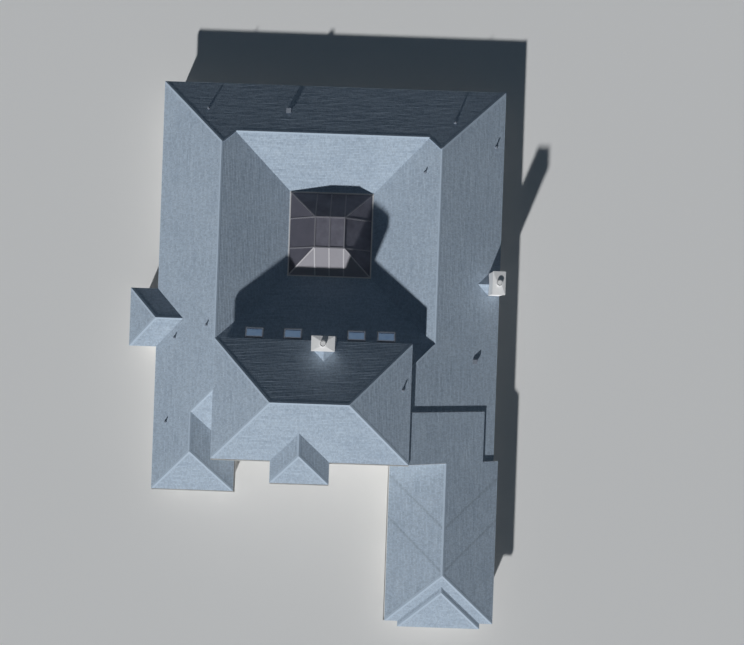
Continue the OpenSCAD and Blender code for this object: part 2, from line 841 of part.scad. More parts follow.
module crickets() color("slategray") {
    difference() {
        translate([back_chimney_x, back_chimney_y - chimney_d / 2, 0]) rotate(180)
            saddle(chimney_l, block_eave + (block_back - back_chimney_y + chimney_d / 2) * pitch);
        block_form(block_eave, far);
    }
    difference() {
        translate([side_chimney_x - side_chimney_d / 2, side_chimney_y, 0]) rotate(90)
            saddle(side_chimney_l, eave_h + (right - side_chimney_x + side_chimney_d / 2) * pitch);
        low_form(eave_h, far);
    }
}

// Windows and doors: ordinary windows have two sashes, wide ones three fields, garden doors two leaves
leaf_gap = 2;
small_windows = concat(back_windows, left_windows, right_windows, garage_windows);
wide_windows = concat(bay_windows, front_wing_windows);
plain_windows = concat(entry_windows, upper_windows, transom_opening);
garden_doors = concat(court_openings, terrace_openings);

module window_frames() color("white") frames(small_windows, 1, 2);
module window_panes() color([0.5, 0.6, 0.65, 0.5]) panes(small_windows, 1, 2);
module front_frames() color("white") {
    frames(wide_windows, 3, 1);
    frames(plain_windows, 1, 1);
}
module front_panes() color([0.5, 0.6, 0.65, 0.5]) {
    panes(wide_windows, 3, 1);
    panes(plain_windows, 1, 1);
}
module garden_door_frames() color("white") frames(garden_doors, 2, 1);
module garden_door_panes() color([0.5, 0.6, 0.65, 0.5]) panes(garden_doors, 2, 1);

// A door leaf of width w between heights z0 and z1, with two sunk panels on each face
module leaf(w, z0, z1) {
    stile = w / 6;
    lock_rail = z0 + (z1 - z0) * 0.4;
    difference() {
        box(0, w, frame_in, frame_in + frame_d, z0, z1);
        for (y = [frame_in, frame_in + frame_d]) {
            box(stile, w - stile, y - panel_d, y + panel_d, z0 + stile, lock_rail);
            box(stile, w - stile, y - panel_d, y + panel_d, lock_rail + stile, z1 - stile);
        }
    }
}

module entry_doors() color("saddlebrown") {
    for (o = entry_opening) at_opening(o) {
        translate([-o[3] / 2, 0, 0]) leaf((o[3] - leaf_gap) / 2, o[4], o[5]);
        translate([leaf_gap / 2, 0, 0]) leaf((o[3] - leaf_gap) / 2, o[4], o[5]);
    }
}

module roller_doors() color("white") {
    for (o = roller_openings) at_opening(o) difference() {
        box(-o[3] / 2, o[3] / 2, frame_in, frame_in + frame_d, o[4], o[5]);
        for (i = [1 : roller_parts - 1])
            translate([-o[3] / 2, frame_in - panel_d, o[4] + (o[5] - o[4]) * i / roller_parts - panel_d / 2])
                cube([o[3], 2 * panel_d, panel_d]);
    }
}

// Skylights
module skylight_curbs() color("dimgray") {
    for (x = skylight_xs) on_terrace(x) difference() {
        box(-skylight_w / 2, skylight_w / 2, -skylight_l / 2, skylight_l / 2, 0, skylight_h);
        box(-skylight_w / 2 + skylight_rim, skylight_w / 2 - skylight_rim,
            -skylight_l / 2 + skylight_rim, skylight_l / 2 - skylight_rim, -1, skylight_h + 1);
    }
}

module skylight_panes() color([0.5, 0.6, 0.65, 0.5]) {
    for (x = skylight_xs) on_terrace(x)
        box(-skylight_w / 2 + skylight_rim, skylight_w / 2 - skylight_rim,
            -skylight_l / 2 + skylight_rim, skylight_l / 2 - skylight_rim, skylight_h / 2 - pane_t / 2,
            skylight_h / 2 + pane_t / 2);
}

// Screen roof over the court: a ring of beams against the eaves, sloping sides and a flat top
screen_z = eave_h + screen_rise;
screen_left = court_left + beam_t / 2;
screen_right = court_right - beam_t / 2;
screen_back = court_back - beam_t / 2;
screen_front = court_front + beam_t / 2;
top_left = screen_left + screen_side;
top_right = screen_right - screen_side;
top_back = screen_back - screen_side;
top_front = screen_front + screen_side;
top_mid = (top_left + top_right) / 2;

// Cross-section under the screen roof between feet at a and b, whose sides start at height z
function screen_section(a, b, z) = [
    [a, z - beam_t], [b, z - beam_t], [b, z],
    [b - screen_side, z + screen_rise], [a + screen_side, z + screen_rise], [a, z]];

module screen_solid(z) {
    intersection() {
        translate([0, screen_back, 0]) rotate([90, 0, 0]) linear_extrude(screen_back - screen_front)
            polygon(screen_section(screen_left, screen_right, z));
        translate([screen_left, 0, 0]) rotate([90, 0, 90]) linear_extrude(screen_right - screen_left)
            polygon(screen_section(screen_front, screen_back, z));
    }
}

// A rafter with upright ends, which climbs from a foot on the lower ring to the upper ring
module rafter(x, y, turn, run) {
    slope = screen_rise / run;
    a = beam_t / 4;
    b = run - beam_t / 4;
    translate([x, y, eave_h]) rotate([90, 0, turn]) linear_extrude(beam_t, center = true) polygon([
        [a, a * slope - beam_t / 2], [b, b * slope - beam_t / 2], [b, b * slope + beam_t / 2],
        [a, a * slope + beam_t / 2]]);
}

// A level ring of beams whose middle line has the given corners
module beam_ring(x0, x1, y0, y1, z) {
    difference() {
        box(x0 - beam_t / 2, x1 + beam_t / 2, y0 - beam_t / 2, y1 + beam_t / 2,
            z - beam_t / 2, z + beam_t / 2);
        box(x0 + beam_t / 2, x1 - beam_t / 2, y0 + beam_t / 2, y1 - beam_t / 2, z - beam_t, z + beam_t);
    }
}

module screen_frame() color("dimgray") {
    beam_ring(screen_left, screen_right, screen_front, screen_back, eave_h);
    beam_ring(top_left, top_right, top_front, top_back, screen_z);
    box(top_mid - beam_t / 2, top_mid + beam_t / 2, top_front, top_back,
        screen_z - beam_t / 2, screen_z + beam_t / 2);
    for (x = [top_left, top_mid, top_right]) {
        rafter(x, screen_front, 90, screen_side);
        rafter(x, screen_back, 270, screen_side);
    }
    for (y = [top_front, top_back]) {
        rafter(screen_left, y, 0, screen_side);
        rafter(screen_right, y, 180, screen_side);
    }
    rafter(screen_left, screen_front, 45, screen_side * sqrt(2));
    rafter(screen_right, screen_front, 135, screen_side * sqrt(2));
    rafter(screen_right, screen_back, 225, screen_side * sqrt(2));
    rafter(screen_left, screen_back, 315, screen_side * sqrt(2));
}

module screen_panels() color([0.2, 0.2, 0.2, 0.5]) difference() {
    screen_solid(eave_h + screen_t / 2);
    screen_solid(eave_h - screen_t / 2);
    box(court_left, court_right, court_front, court_back, 0, eave_h + beam_t / 2);
    screen_frame();
}

// Vents on the slopes: how far up a slope each stands, and where along it from the left or back eaves
back_pipes = [[1210, 1950], [1490, 11935]];
left_pipes = [[2260, 9975], [575, 13975], [850, 10530]];
right_pipes = [[370, 2295]];
court_pipes = [[2025, 3575]];
block_pipes = [[330, 12240]];
back_vents = [[1210, 5190]];
right_vents = [[970, 11100]];

function on_back(list) = [for (p = list) [left + p[1], back - p[0], eave_h + p[0] * pitch]];
function on_left(list) = [for (p = list) [left + p[0], back - p[1], eave_h + p[0] * pitch]];
function on_right(list, edge, eave) = [for (p = list) [edge - p[0], back - p[1], eave + p[0] * pitch]];
function on_court(list) = [for (p = list) [court_right + p[0], back - p[1], eave_h + p[0] * pitch]];

wing_pipes = concat(on_back(back_pipes), on_left(left_pipes), on_right(right_pipes, right, eave_h),
    on_court(court_pipes));

// A pipe in a sloping collar, drawn from the slope upwards and cut by it
module pipe() {
    translate([0, 0, -flashing_d / 2]) cylinder(h = flashing_d / 2 + pipe_h, d = pipe_d, $fn = 32);
    cylinder(h = flashing_d / 2, d1 = flashing_d, d2 = pipe_d, $fn = 32);
    translate([0, 0, -flashing_d / 2]) cylinder(h = flashing_d / 2, d = flashing_d, $fn = 32);
}

// A low square vent with a wider lid
module vent() {
    lid_z = vent_w / 4 + vent_h / 2;
    square_post(vent_w, -vent_w / 2, lid_z);
    square_post(vent_w * 1.2, lid_z, lid_z + vent_h / 2);
}

module vent_pipes() color("gray") {
    difference() {
        union() {
            for (p = wing_pipes) translate(p) pipe();
            for (p = concat(on_back(back_vents), on_right(right_vents, right, eave_h))) translate(p) vent();
        }
        low_form(eave_h, far);
    }
    difference() {
        for (p = on_right(block_pipes, block_right, block_eave)) translate(p) pipe();
        block_form(block_eave, far);
    }
}

// Gutters on the eaves round the entry: an open channel with closed ends against the board at the roof edge
gutter_h = fascia_h - roof_t;
gutter_z = eave_h - fascia_h;
block_gutter_z = block_eave - fascia_h;

// Outer face of the gutter's profile, from its foot at the wall side to its rim
gutter_face = [[0, 0], [gutter_w * 0.6, 0], [gutter_w * 0.72, gutter_h * 0.35],
    [gutter_w * 0.95, gutter_h * 0.6], [gutter_w, gutter_h * 0.75], [gutter_w, gutter_h]];

// A length of gutter, its back against the roof edge at the origin, running along X and standing out to -Y
module gutter(length) {
    rotate([90, 0, 90]) difference() {
        linear_extrude(length) mirror([1, 0]) polygon(concat(gutter_face, [[0, gutter_h]]));
        translate([0, 0, gutter_t]) linear_extrude(length - 2 * gutter_t) mirror([1, 0])
            polygon([[gutter_t, gutter_t], [gutter_w * 0.55, gutter_t], [gutter_w * 0.66, gutter_h * 0.4],
                [gutter_w * 0.9, gutter_h * 0.62], [gutter_w - gutter_t, gutter_h * 0.78],
                [gutter_w - gutter_t, gutter_h + gutter_t], [gutter_t, gutter_h + gutter_t]]);
    }
}

// A downspout under a gutter, x along it: an elbow back to the wall and a pipe down to the ground
module spout(x) {
    spout_d = spout_w * 0.7;
    translate([x, 0, 0]) {
        box(0, spout_w, -gutter_w * 0.6, spout_d - gutter_w * 0.6, -spout_w, gutter_t);
        box(0, spout_w, -gutter_w * 0.6, overhang, -spout_w - spout_d, -spout_w);
        box(0, spout_w, overhang - spout_d, overhang, -gutter_z, -spout_w - spout_d);
    }
}

module gutters() color("white") {
    // Front wing, its front and its right side
    translate([left, front_edge, gutter_z]) {
        gutter(front_w + gutter_w);
        spout(overhang + spout_w);
    }
    translate([front_right, front_edge - gutter_t, gutter_z]) rotate(90)
        gutter(block_wall_front - front_edge + gutter_t);
    // Garage, its left side
    translate([garage_left, block_wall_front, gutter_z]) rotate(270) {
        gutter(block_wall_front - garage_front);
        spout(block_wall_front - garage_front - overhang - 2 * spout_w);
    }
    // Block, both sides of the porch, and the porch's front
    translate([block_left, block_front, block_gutter_z]) gutter(porch_mid - porch_w / 2 - block_left);
    translate([porch_mid + porch_w / 2, block_front, block_gutter_z])
        gutter(block_right - porch_mid - porch_w / 2);
    translate([porch_mid - porch_w / 2, porch_front, block_gutter_z]) gutter(porch_w);
}

floor_slab();
court_deck();
back_wall();
left_walls();
front_wing_walls();
entry_wall();
right_wall();
garage_door_wall();
garage_walls();
garage_back_wall();
court_walls();
block_back_wall();
block_side_walls();
back_roof();
left_roof();
right_roof();
terrace_roof();
front_wing_roof();
bay_roof();
garage_roof();
block_roof();
porch_roof();
link_roof();
wing_eaves();
block_eaves();
back_chimney();
side_chimney();
chimney_caps();
crickets();
terrace_posts();
porch_columns();
window_frames();
window_panes();
front_frames();
front_panes();
garden_door_frames();
garden_door_panes();
entry_doors();
roller_doors();
skylight_curbs();
skylight_panes();
screen_frame();
screen_panels();
vent_pipes();
gutters();
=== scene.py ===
import math
import bmesh
import bpy
from mathutils import Matrix, Vector


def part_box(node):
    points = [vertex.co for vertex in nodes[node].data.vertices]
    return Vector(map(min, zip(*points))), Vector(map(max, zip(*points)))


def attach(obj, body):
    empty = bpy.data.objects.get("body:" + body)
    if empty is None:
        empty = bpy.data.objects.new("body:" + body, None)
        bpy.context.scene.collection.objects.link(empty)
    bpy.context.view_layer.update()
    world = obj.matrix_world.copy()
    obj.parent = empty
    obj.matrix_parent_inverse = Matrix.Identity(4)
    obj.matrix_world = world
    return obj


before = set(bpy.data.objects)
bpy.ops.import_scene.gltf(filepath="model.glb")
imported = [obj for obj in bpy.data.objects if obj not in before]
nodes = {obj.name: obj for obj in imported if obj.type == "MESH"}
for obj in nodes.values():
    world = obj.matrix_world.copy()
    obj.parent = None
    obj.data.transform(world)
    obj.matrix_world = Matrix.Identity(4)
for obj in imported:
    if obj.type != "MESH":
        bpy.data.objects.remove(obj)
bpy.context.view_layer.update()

scene = bpy.context.scene

# Node helpers for the finishes and the world

def newMaterial(name, roughness, color=(0.8, 0.8, 0.8)):
    mat = bpy.data.materials.new(name)
    mat.use_nodes = True
    shader = mat.node_tree.nodes["Principled BSDF"]
    shader.inputs["Roughness"].default_value = roughness
    shader.inputs["Base Color"].default_value = (*color, 1.0)
    return mat, mat.node_tree, shader


def node(tree, kind, **inputs):
    made = tree.nodes.new("ShaderNode" + kind)
    for key, value in inputs.items():
        if key in made.inputs:
            made.inputs[key].default_value = value
        else:
            setattr(made, key, value)
    return made


def link(tree, source, target):
    tree.links.new(source, target)


def maths(tree, operation, a, b=None):
    made = node(tree, "Math", operation=operation)
    for i, value in enumerate((a, b)):
        if value is None:
            continue
        if isinstance(value, (int, float)):
            made.inputs[i].default_value = value
        else:
            link(tree, value, made.inputs[i])
    return made.outputs[0]


def times(tree, value, factor):
    return maths(tree, "MULTIPLY", value, factor)


def total(tree, *values):
    result = values[0]
    for value in values[1:]:
        result = maths(tree, "ADD", result, value)
    return result


def fade(tree, value, places, levels):
    made = node(tree, "MapRange")
    made.inputs["From Min"].default_value, made.inputs["From Max"].default_value = places
    made.inputs["To Min"].default_value, made.inputs["To Max"].default_value = levels
    link(tree, value, made.inputs["Value"])
    return made.outputs["Result"]


def separate(tree, vector):
    made = node(tree, "SeparateXYZ")
    link(tree, vector, made.inputs[0])
    return made.outputs


def combine(tree, x, y, z=0.0):
    made = node(tree, "CombineXYZ", Z=z)
    link(tree, x, made.inputs["X"])
    link(tree, y, made.inputs["Y"])
    return made.outputs[0]


def noise(tree, vector, scale, detail=3.0, roughness=0.6):
    made = node(tree, "TexNoise", Scale=scale, Detail=detail, Roughness=roughness)
    link(tree, vector, made.inputs["Vector"])
    return made.outputs["Fac"]


def cellNoise(tree, x, y, seed):
    made = node(tree, "TexWhiteNoise")
    link(tree, combine(tree, x, y, seed), made.inputs["Vector"])
    return made.outputs["Value"]


def ramp(tree, value, stops):
    made = node(tree, "ValToRGB")
    cells = made.color_ramp.elements
    while len(cells) < len(stops):
        cells.new(0.5)
    for cell, (place, color) in zip(cells, stops):
        cell.position = place
        cell.color = (*color, 1.0)
    link(tree, value, made.inputs["Fac"])
    return made.outputs["Color"]


def mixColor(tree, factor, a, b, blend="MIX"):
    made = node(tree, "Mix", data_type="RGBA", blend_type=blend)
    for i, value in ((0, factor), (6, a), (7, b)):  # its colour sockets are 6 and 7, the result is 2
        if isinstance(value, (int, float)):
            made.inputs[i].default_value = value
        elif isinstance(value, tuple):
            made.inputs[i].default_value = (*value, 1.0)
        else:
            link(tree, value, made.inputs[i])
    return made.outputs[2]


def bump(tree, height, shader, strength, distance, under=None):
    made = node(tree, "Bump", Strength=strength, Distance=distance)
    link(tree, height, made.inputs["Height"])
    if under:
        link(tree, under, made.inputs["Normal"])
    link(tree, made.outputs["Normal"], shader.inputs["Normal"])
    return made.outputs["Normal"]


def objectCoords(tree):
    return node(tree, "TexCoord").outputs["Object"]


def uvCoords(tree):
    return node(tree, "TexCoord").outputs["UV"]


def darker(color, part):
    return tuple(c * part for c in color)


def addCoat(shader, weight, roughness):
    shader.inputs["Coat Weight"].default_value = weight
    shader.inputs["Coat Roughness"].default_value = roughness


# Camera, light and floor

photo = {
    "nadir": (2.22, 1.10),  # point of the plan straight under the lens
    "height": 37.5,
    "lens": 42.3,
    "sensor": 36.0,
    "turn": 2.0,  # degrees, the house stands a little turned in the photo
    "shift": (0.0027, 0.0101),
    "farthest": 400.0,
}

studio = {
    "sunFrom": 201.0,  # compass bearing of the soft key light
    "sunUp": 27.5,
    "sunStrength": 3.12,
    "sunAngle": 1.8,
    "fill": 0.048,
    "fillColor": (0.44, 0.70, 1.0),
    "backdrop": 0.66,
    "backdropColor": (0.98, 0.99, 1.0),
    "floorColor": (0.89, 0.89, 0.88),
    "floorRoughness": 0.9,
    "floorSize": 3000.0,
}


def addCamera():
    cam = bpy.data.cameras.new("photoCamera")
    cam.lens = photo["lens"]
    cam.sensor_width = photo["sensor"]
    cam.shift_x, cam.shift_y = photo["shift"]
    cam.clip_end = photo["farthest"]
    obj = bpy.data.objects.new("photoCamera", cam)
    obj.location = (*photo["nadir"], photo["height"])
    obj.rotation_euler = (0.0, 0.0, math.radians(photo["turn"]))
    scene.collection.objects.link(obj)
    scene.camera = obj


def addSun():
    sun = bpy.data.lights.new("softKey", "SUN")
    sun.energy = studio["sunStrength"]
    sun.angle = math.radians(studio["sunAngle"])
    obj = bpy.data.objects.new("softKey", sun)
    bearing = math.radians(studio["sunFrom"])
    up = math.radians(studio["sunUp"])
    toSun = Vector((math.sin(bearing) * math.cos(up), math.cos(bearing) * math.cos(up), math.sin(up)))
    obj.rotation_euler = toSun.to_track_quat("Z", "Y").to_euler()
    scene.collection.objects.link(obj)


def addWorld():
    world = bpy.data.worlds.new("studio")
    world.use_nodes = True
    tree = world.node_tree
    back = tree.nodes["Background"]
    rays = node(tree, "LightPath").outputs
    seen = maths(tree, "MAXIMUM", rays["Is Camera Ray"], rays["Is Transmission Ray"])
    seen = maths(tree, "MAXIMUM", seen, rays["Is Glossy Ray"])
    level = fade(tree, seen, (0.0, 1.0), (studio["fill"], studio["backdrop"]))
    link(tree, level, back.inputs["Strength"])
    tint = mixColor(tree, seen, studio["fillColor"], studio["backdropColor"])
    link(tree, tint, back.inputs["Color"])
    scene.world = world
    scene.view_settings.view_transform = "Standard"


def addFloor():
    bm = bmesh.new()
    bmesh.ops.create_grid(bm, x_segments=1, y_segments=1, size=studio["floorSize"] / 2)
    mesh = bpy.data.meshes.new("studioFloor")
    bm.to_mesh(mesh)
    bm.free()
    obj = bpy.data.objects.new("studioFloor", mesh)
    scene.collection.objects.link(obj)
    paper = newMaterial("studioPaper", studio["floorRoughness"], studio["floorColor"])[0]
    mesh.materials.append(paper)


# Shingle finish: rows follow the slope, and each row has raised tabs of uneven width

shingle = {
    "row": 0.0655,  # height of a row along the slope
    "tab": 0.047,  # the narrowest tab
    "strip": 0.14,  # length of one shade within a row
    "shove": 3.0,  # rows are shifted against each other by up to this
    "flatTabs": 0.45,  # share of the tabs that aren't raised
    "light": (0.540, 0.642, 0.748),
    "middle": (0.460, 0.557, 0.666),
    "dark": (0.361, 0.447, 0.552),
    "capTint": (0.515, 0.615, 0.722),
    "shadowTint": (0.06, 0.07, 0.09),
    "stops": (0.20, 0.50, 0.84),
    "shadowFrom": 0.86,  # part of a row above which the next row's shadow lies
    "shadow": 0.30,
    "flatShadow": 0.12,
    "granule": 260.0,
    "grit": (0.5, 0.75),  # contrast and least brightness of the grit
    "relief": (0.7, 0.35),  # height of the tabs and of the grit
    "streaks": (0.9, 0.55),  # how fast they change across and from row to row
    "waves": (0.7, 7.0),  # the same for the unevenness of the sheets
}

shadeWeights = {"strip": 0.18, "tab": 0.14, "weather": 0.42, "streak": 0.60, "mottle": 0.26}

# Faint dark diagonal bands on the garage roof. A pair leaves the ridge
# at each foot.
diagonals = {"feet": (-6.75, -8.50), "slant": 0.87, "wide": 0.110, "dark": 0.20}


def diagonalLines(tree, coords):
    lo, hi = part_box("garage_roof")
    place = separate(tree, coords)
    away = maths(tree, "ABSOLUTE", maths(tree, "SUBTRACT", place["X"], (lo[0] + hi[0]) / 2))
    level = maths(tree, "SUBTRACT", place["Y"], times(tree, away, diagonals["slant"]))
    bands = []
    for foot in diagonals["feet"]:
        off = maths(tree, "ABSOLUTE", maths(tree, "SUBTRACT", level, foot))
        bands.append(fade(tree, off, (0.0, diagonals["wide"]), (diagonals["dark"], 0.0)))
    onGarage = maths(tree, "LESS_THAN", away, (hi[0] - lo[0]) / 2)
    return times(tree, total(tree, *bands), onGarage)


def granules(tree, coords):
    return noise(tree, coords, shingle["granule"], detail=2.0, roughness=0.8)


def shingleTint(tree, coords, across, row, shades):
    overRow, overRows = shingle["streaks"]
    course = combine(tree, times(tree, across, overRow), times(tree, row, overRows))
    shades["weather"] = noise(tree, coords, scale=0.45, detail=4.0)
    shades["streak"] = maths(tree, "SUBTRACT", noise(tree, course, scale=1.0), 0.5)
    shades["mottle"] = noise(tree, coords, scale=9.0, detail=4.0, roughness=0.7)
    value = total(tree, *(times(tree, shades[key], weight) for key, weight in shadeWeights.items()))
    tones = (shingle["dark"], shingle["middle"], shingle["light"])
    return ramp(tree, value, tuple(zip(shingle["stops"], tones)))


def shingleMaterial():
    mat, tree, shader = newMaterial("asphaltShingle", roughness=0.92)
    coords = objectCoords(tree)
    slope = separate(tree, uvCoords(tree))
    across, along = slope["X"], slope["Y"]
    rowPlace = maths(tree, "DIVIDE", along, shingle["row"])
    row = maths(tree, "FLOOR", rowPlace)
    inRow = maths(tree, "FRACT", rowPlace)
    shove = times(tree, cellNoise(tree, row, row, seed=3.0), shingle["shove"])
    shifted = maths(tree, "ADD", across, shove)
    tab = maths(tree, "FLOOR", maths(tree, "DIVIDE", shifted, shingle["tab"]))
    strip = maths(tree, "FLOOR", maths(tree, "DIVIDE", shifted, shingle["strip"]))
    raised = maths(tree, "GREATER_THAN", cellNoise(tree, tab, row, seed=1.0), shingle["flatTabs"])
    shades = {"strip": cellNoise(tree, strip, row, seed=7.0), "tab": cellNoise(tree, tab, row, seed=11.0)}
    color = shingleTint(tree, coords, across, row, shades)
    granule = granules(tree, coords)
    contrast, least = shingle["grit"]
    grit = maths(tree, "ADD", times(tree, granule, contrast), least)
    color = mixColor(tree, 1.0, color, grit, "MULTIPLY")
    shadow = times(tree, maths(tree, "GREATER_THAN", inRow, shingle["shadowFrom"]), shingle["shadow"])
    lower = times(tree, maths(tree, "SUBTRACT", 1.0, raised), shingle["flatShadow"])
    shaded = total(tree, shadow, lower, diagonalLines(tree, coords))
    color = mixColor(tree, shaded, color, shingle["shadowTint"])
    link(tree, color, shader.inputs["Base Color"])
    wide, tall = shingle["waves"]
    sag = combine(tree, times(tree, across, wide), times(tree, along, tall))
    uneven = bump(tree, noise(tree, sag, scale=1.0), shader, strength=1.0, distance=0.015)
    tabHeight, gritHeight = shingle["relief"]
    height = total(tree, times(tree, raised, tabHeight), times(tree, granule, gritHeight))
    bump(tree, height, shader, strength=0.5, distance=0.003, under=uneven)
    return mat


def capMaterial():
    mat, tree, shader = newMaterial("capShingle", roughness=0.92)
    coords = objectCoords(tree)
    mottle = noise(tree, coords, scale=14.0, detail=4.0, roughness=0.7)
    color = ramp(tree, mottle, ((0.3, shingle["middle"]), (0.7, shingle["capTint"])))
    link(tree, color, shader.inputs["Base Color"])
    bump(tree, granules(tree, coords), shader, strength=0.5, distance=0.002)
    return mat


stucco = {
    "color": (0.715, 0.705, 0.68),
    "shade": (0.65, 0.64, 0.615),
    "grain": 55.0,
    "dirt": (0.45, 0.42, 0.37),
    "splash": (0.05, 0.30),  # the dirt that rain throws up fades out between these heights
    "dirty": 0.35,
}


def stuccoMaterial():
    mat, tree, shader = newMaterial("paintedStucco", roughness=0.85)
    coords = objectCoords(tree)
    broad = noise(tree, coords, scale=0.8, detail=5.0)
    color = ramp(tree, broad, ((0.25, stucco["shade"]), (0.6, stucco["color"])))
    splash = fade(tree, separate(tree, coords)["Z"], stucco["splash"], (stucco["dirty"], 0.0))
    dirt = times(tree, splash, noise(tree, coords, scale=6.0, detail=4.0))
    link(tree, mixColor(tree, dirt, color, stucco["dirt"]), shader.inputs["Base Color"])
    grain = noise(tree, coords, stucco["grain"], detail=6.0, roughness=0.7)
    bump(tree, grain, shader, strength=0.45, distance=0.004)
    return mat


paint = {"shade": 0.93, "streak": 18.0, "wornFrom": 0.66, "worn": 0.25}


def paintMaterial(name, color, roughness=0.42, wear=(0.62, 0.61, 0.58)):
    mat, tree, shader = newMaterial(name, roughness)
    coords = objectCoords(tree)
    broad = noise(tree, coords, scale=1.6, detail=5.0)
    streak = noise(tree, coords, paint["streak"], detail=5.0)
    worn = times(tree, maths(tree, "GREATER_THAN", streak, paint["wornFrom"]), paint["worn"])
    base = ramp(tree, broad, ((0.3, darker(color, paint["shade"])), (0.7, color)))
    link(tree, mixColor(tree, worn, base, wear), shader.inputs["Base Color"])
    bump(tree, streak, shader, strength=0.08, distance=0.002)
    return mat


# The panes are drawn dark: painted shade for the dim rooms behind the glass
glass = {
    "color": (0.055, 0.070, 0.080),
    "shade": 0.7,
    "roughness": 0.03,
    "specular": 0.6,
    "coat": (0.6, 0.02),  # weight and roughness
    "wave": 1.4,
}


def glassMaterial():
    mat, tree, shader = newMaterial("windowGlass", glass["roughness"], glass["color"])
    shader.inputs["Specular IOR Level"].default_value = glass["specular"]
    addCoat(shader, *glass["coat"])
    wave = noise(tree, objectCoords(tree), glass["wave"], detail=2.0)
    tint = ramp(tree, wave, ((0.35, darker(glass["color"], glass["shade"])), (0.7, glass["color"])))
    link(tree, tint, shader.inputs["Base Color"])
    bump(tree, wave, shader, strength=0.05, distance=0.01)
    return mat


# The domes' blue is painted sky reflection; their metal and coat also reflect the world
skylight = {
    "deep": (0.17, 0.31, 0.53),
    "pale": (0.24, 0.39, 0.60),
    "roughness": 0.16,
    "metallic": 0.45,
    "coat": (0.5, 0.05),
}


def skylightMaterial():
    mat, tree, shader = newMaterial("domeWithPaintedSky", skylight["roughness"])
    shader.inputs["Metallic"].default_value = skylight["metallic"]
    addCoat(shader, *skylight["coat"])
    haze = noise(tree, objectCoords(tree), scale=5.0, detail=4.0)
    color = ramp(tree, haze, ((0.35, skylight["deep"]), (0.7, skylight["pale"])))
    link(tree, color, shader.inputs["Base Color"])
    bump(tree, haze, shader, strength=0.04, distance=0.01)
    return mat


metal = {"shade": 0.75, "stain": 12.0, "brush": 90.0}


def metalMaterial(name, color, roughness, metallic=1.0):
    mat, tree, shader = newMaterial(name, roughness)
    shader.inputs["Metallic"].default_value = metallic
    coords = objectCoords(tree)
    stain = noise(tree, coords, metal["stain"], detail=5.0)
    base = ramp(tree, stain, ((0.3, darker(color, metal["shade"])), (0.7, color)))
    link(tree, base, shader.inputs["Base Color"])
    bump(tree, noise(tree, coords, metal["brush"]), shader, strength=0.1, distance=0.001)
    return mat


screenCloth = {
    "dark": (0.140, 0.140, 0.178),
    "light": (0.230, 0.228, 0.282),
    "paintedSunlit": (0.400, 0.390, 0.425),  # the front slope drawn paler, painted sunlight
    "paintedShade": (0.095, 0.095, 0.125),  # the left slope drawn darker, painted shade
    "amount": 0.80,
    "turned": -0.2,  # a slope faces a side when its normal goes past this
    "alpha": 0.72,
    "weave": 420.0,
}


def facingSide(tree):
    return separate(tree, node(tree, "NewGeometry").outputs["Normal"])


def screenMaterial():
    mat, tree, shader = newMaterial("insectScreen", roughness=0.7)
    shader.inputs["Alpha"].default_value = screenCloth["alpha"]
    coords = objectCoords(tree)
    sag = noise(tree, coords, scale=2.2)
    color = ramp(tree, sag, ((0.3, screenCloth["dark"]), (0.7, screenCloth["light"])))
    # painted light and shade: the front slope is drawn paler as if sunlit, the left slope darker as if
    # shaded
    side = facingSide(tree)
    for axis, tone in (("Y", "paintedSunlit"), ("X", "paintedShade")):
        slope = maths(tree, "LESS_THAN", side[axis], screenCloth["turned"])
        amount = times(tree, slope, screenCloth["amount"])
        color = mixColor(tree, amount, color, screenCloth[tone])
    link(tree, color, shader.inputs["Base Color"])
    weave = noise(tree, coords, screenCloth["weave"], detail=1.0)
    bump(tree, weave, shader, strength=0.3, distance=0.002)
    return mat


screenPaint = {
    "ringTop": 1.54,  # the white ring lies below this height
    "ring": (0.76, 0.76, 0.76),
    "bar": (0.200, 0.200, 0.230),
    "front": (0.50, 0.49, 0.52),  # bars of the front slope drawn paler, painted sunlight
    "stain": (0.24, 0.24, 0.25),
    "stained": 0.3,
}


def screenFrameMaterial():
    mat, tree, shader = newMaterial("coatedAluminium", roughness=0.5)
    coords = objectCoords(tree)
    inRing = maths(tree, "LESS_THAN", separate(tree, coords)["Z"], screenPaint["ringTop"])
    # painted sunlight: bars that face the front are drawn paler, as if the sun lit them
    front = maths(tree, "LESS_THAN", facingSide(tree)["Y"], screenCloth["turned"])
    bar = mixColor(tree, front, screenPaint["bar"], screenPaint["front"])
    color = mixColor(tree, inRing, bar, screenPaint["ring"])
    stain = times(tree, noise(tree, coords, metal["stain"], detail=5.0), screenPaint["stained"])
    link(tree, mixColor(tree, stain, color, screenPaint["stain"]), shader.inputs["Base Color"])
    bump(tree, noise(tree, coords, metal["brush"]), shader, strength=0.1, distance=0.001)
    return mat


wood = {
    "dark": (0.115, 0.052, 0.024),
    "middle": (0.235, 0.115, 0.052),
    "light": (0.33, 0.175, 0.085),
    "stretch": (26.0, 26.0, 1.6),  # the grain runs upright
    "coat": (0.35, 0.12),
}


def woodMaterial():
    mat, tree, shader = newMaterial("varnishedWood", roughness=0.35)
    addCoat(shader, *wood["coat"])
    stretch = node(tree, "Mapping", Scale=wood["stretch"])
    link(tree, objectCoords(tree), stretch.inputs["Vector"])
    grain = noise(tree, stretch.outputs[0], scale=1.0, detail=6.0, roughness=0.65)
    color = ramp(tree, grain, ((0.3, wood["dark"]), (0.55, wood["middle"]), (0.8, wood["light"])))
    link(tree, color, shader.inputs["Base Color"])
    bump(tree, grain, shader, strength=0.2, distance=0.002)
    return mat


paving = {
    "stone": (0.44, 0.22),
    "joint": 0.004,
    "light": (0.40, 0.375, 0.335),
    "dark": (0.29, 0.27, 0.24),
    "mortar": (0.25, 0.24, 0.22),
    "dust": (0.30, 0.28, 0.25),
    "dusty": 0.35,
}


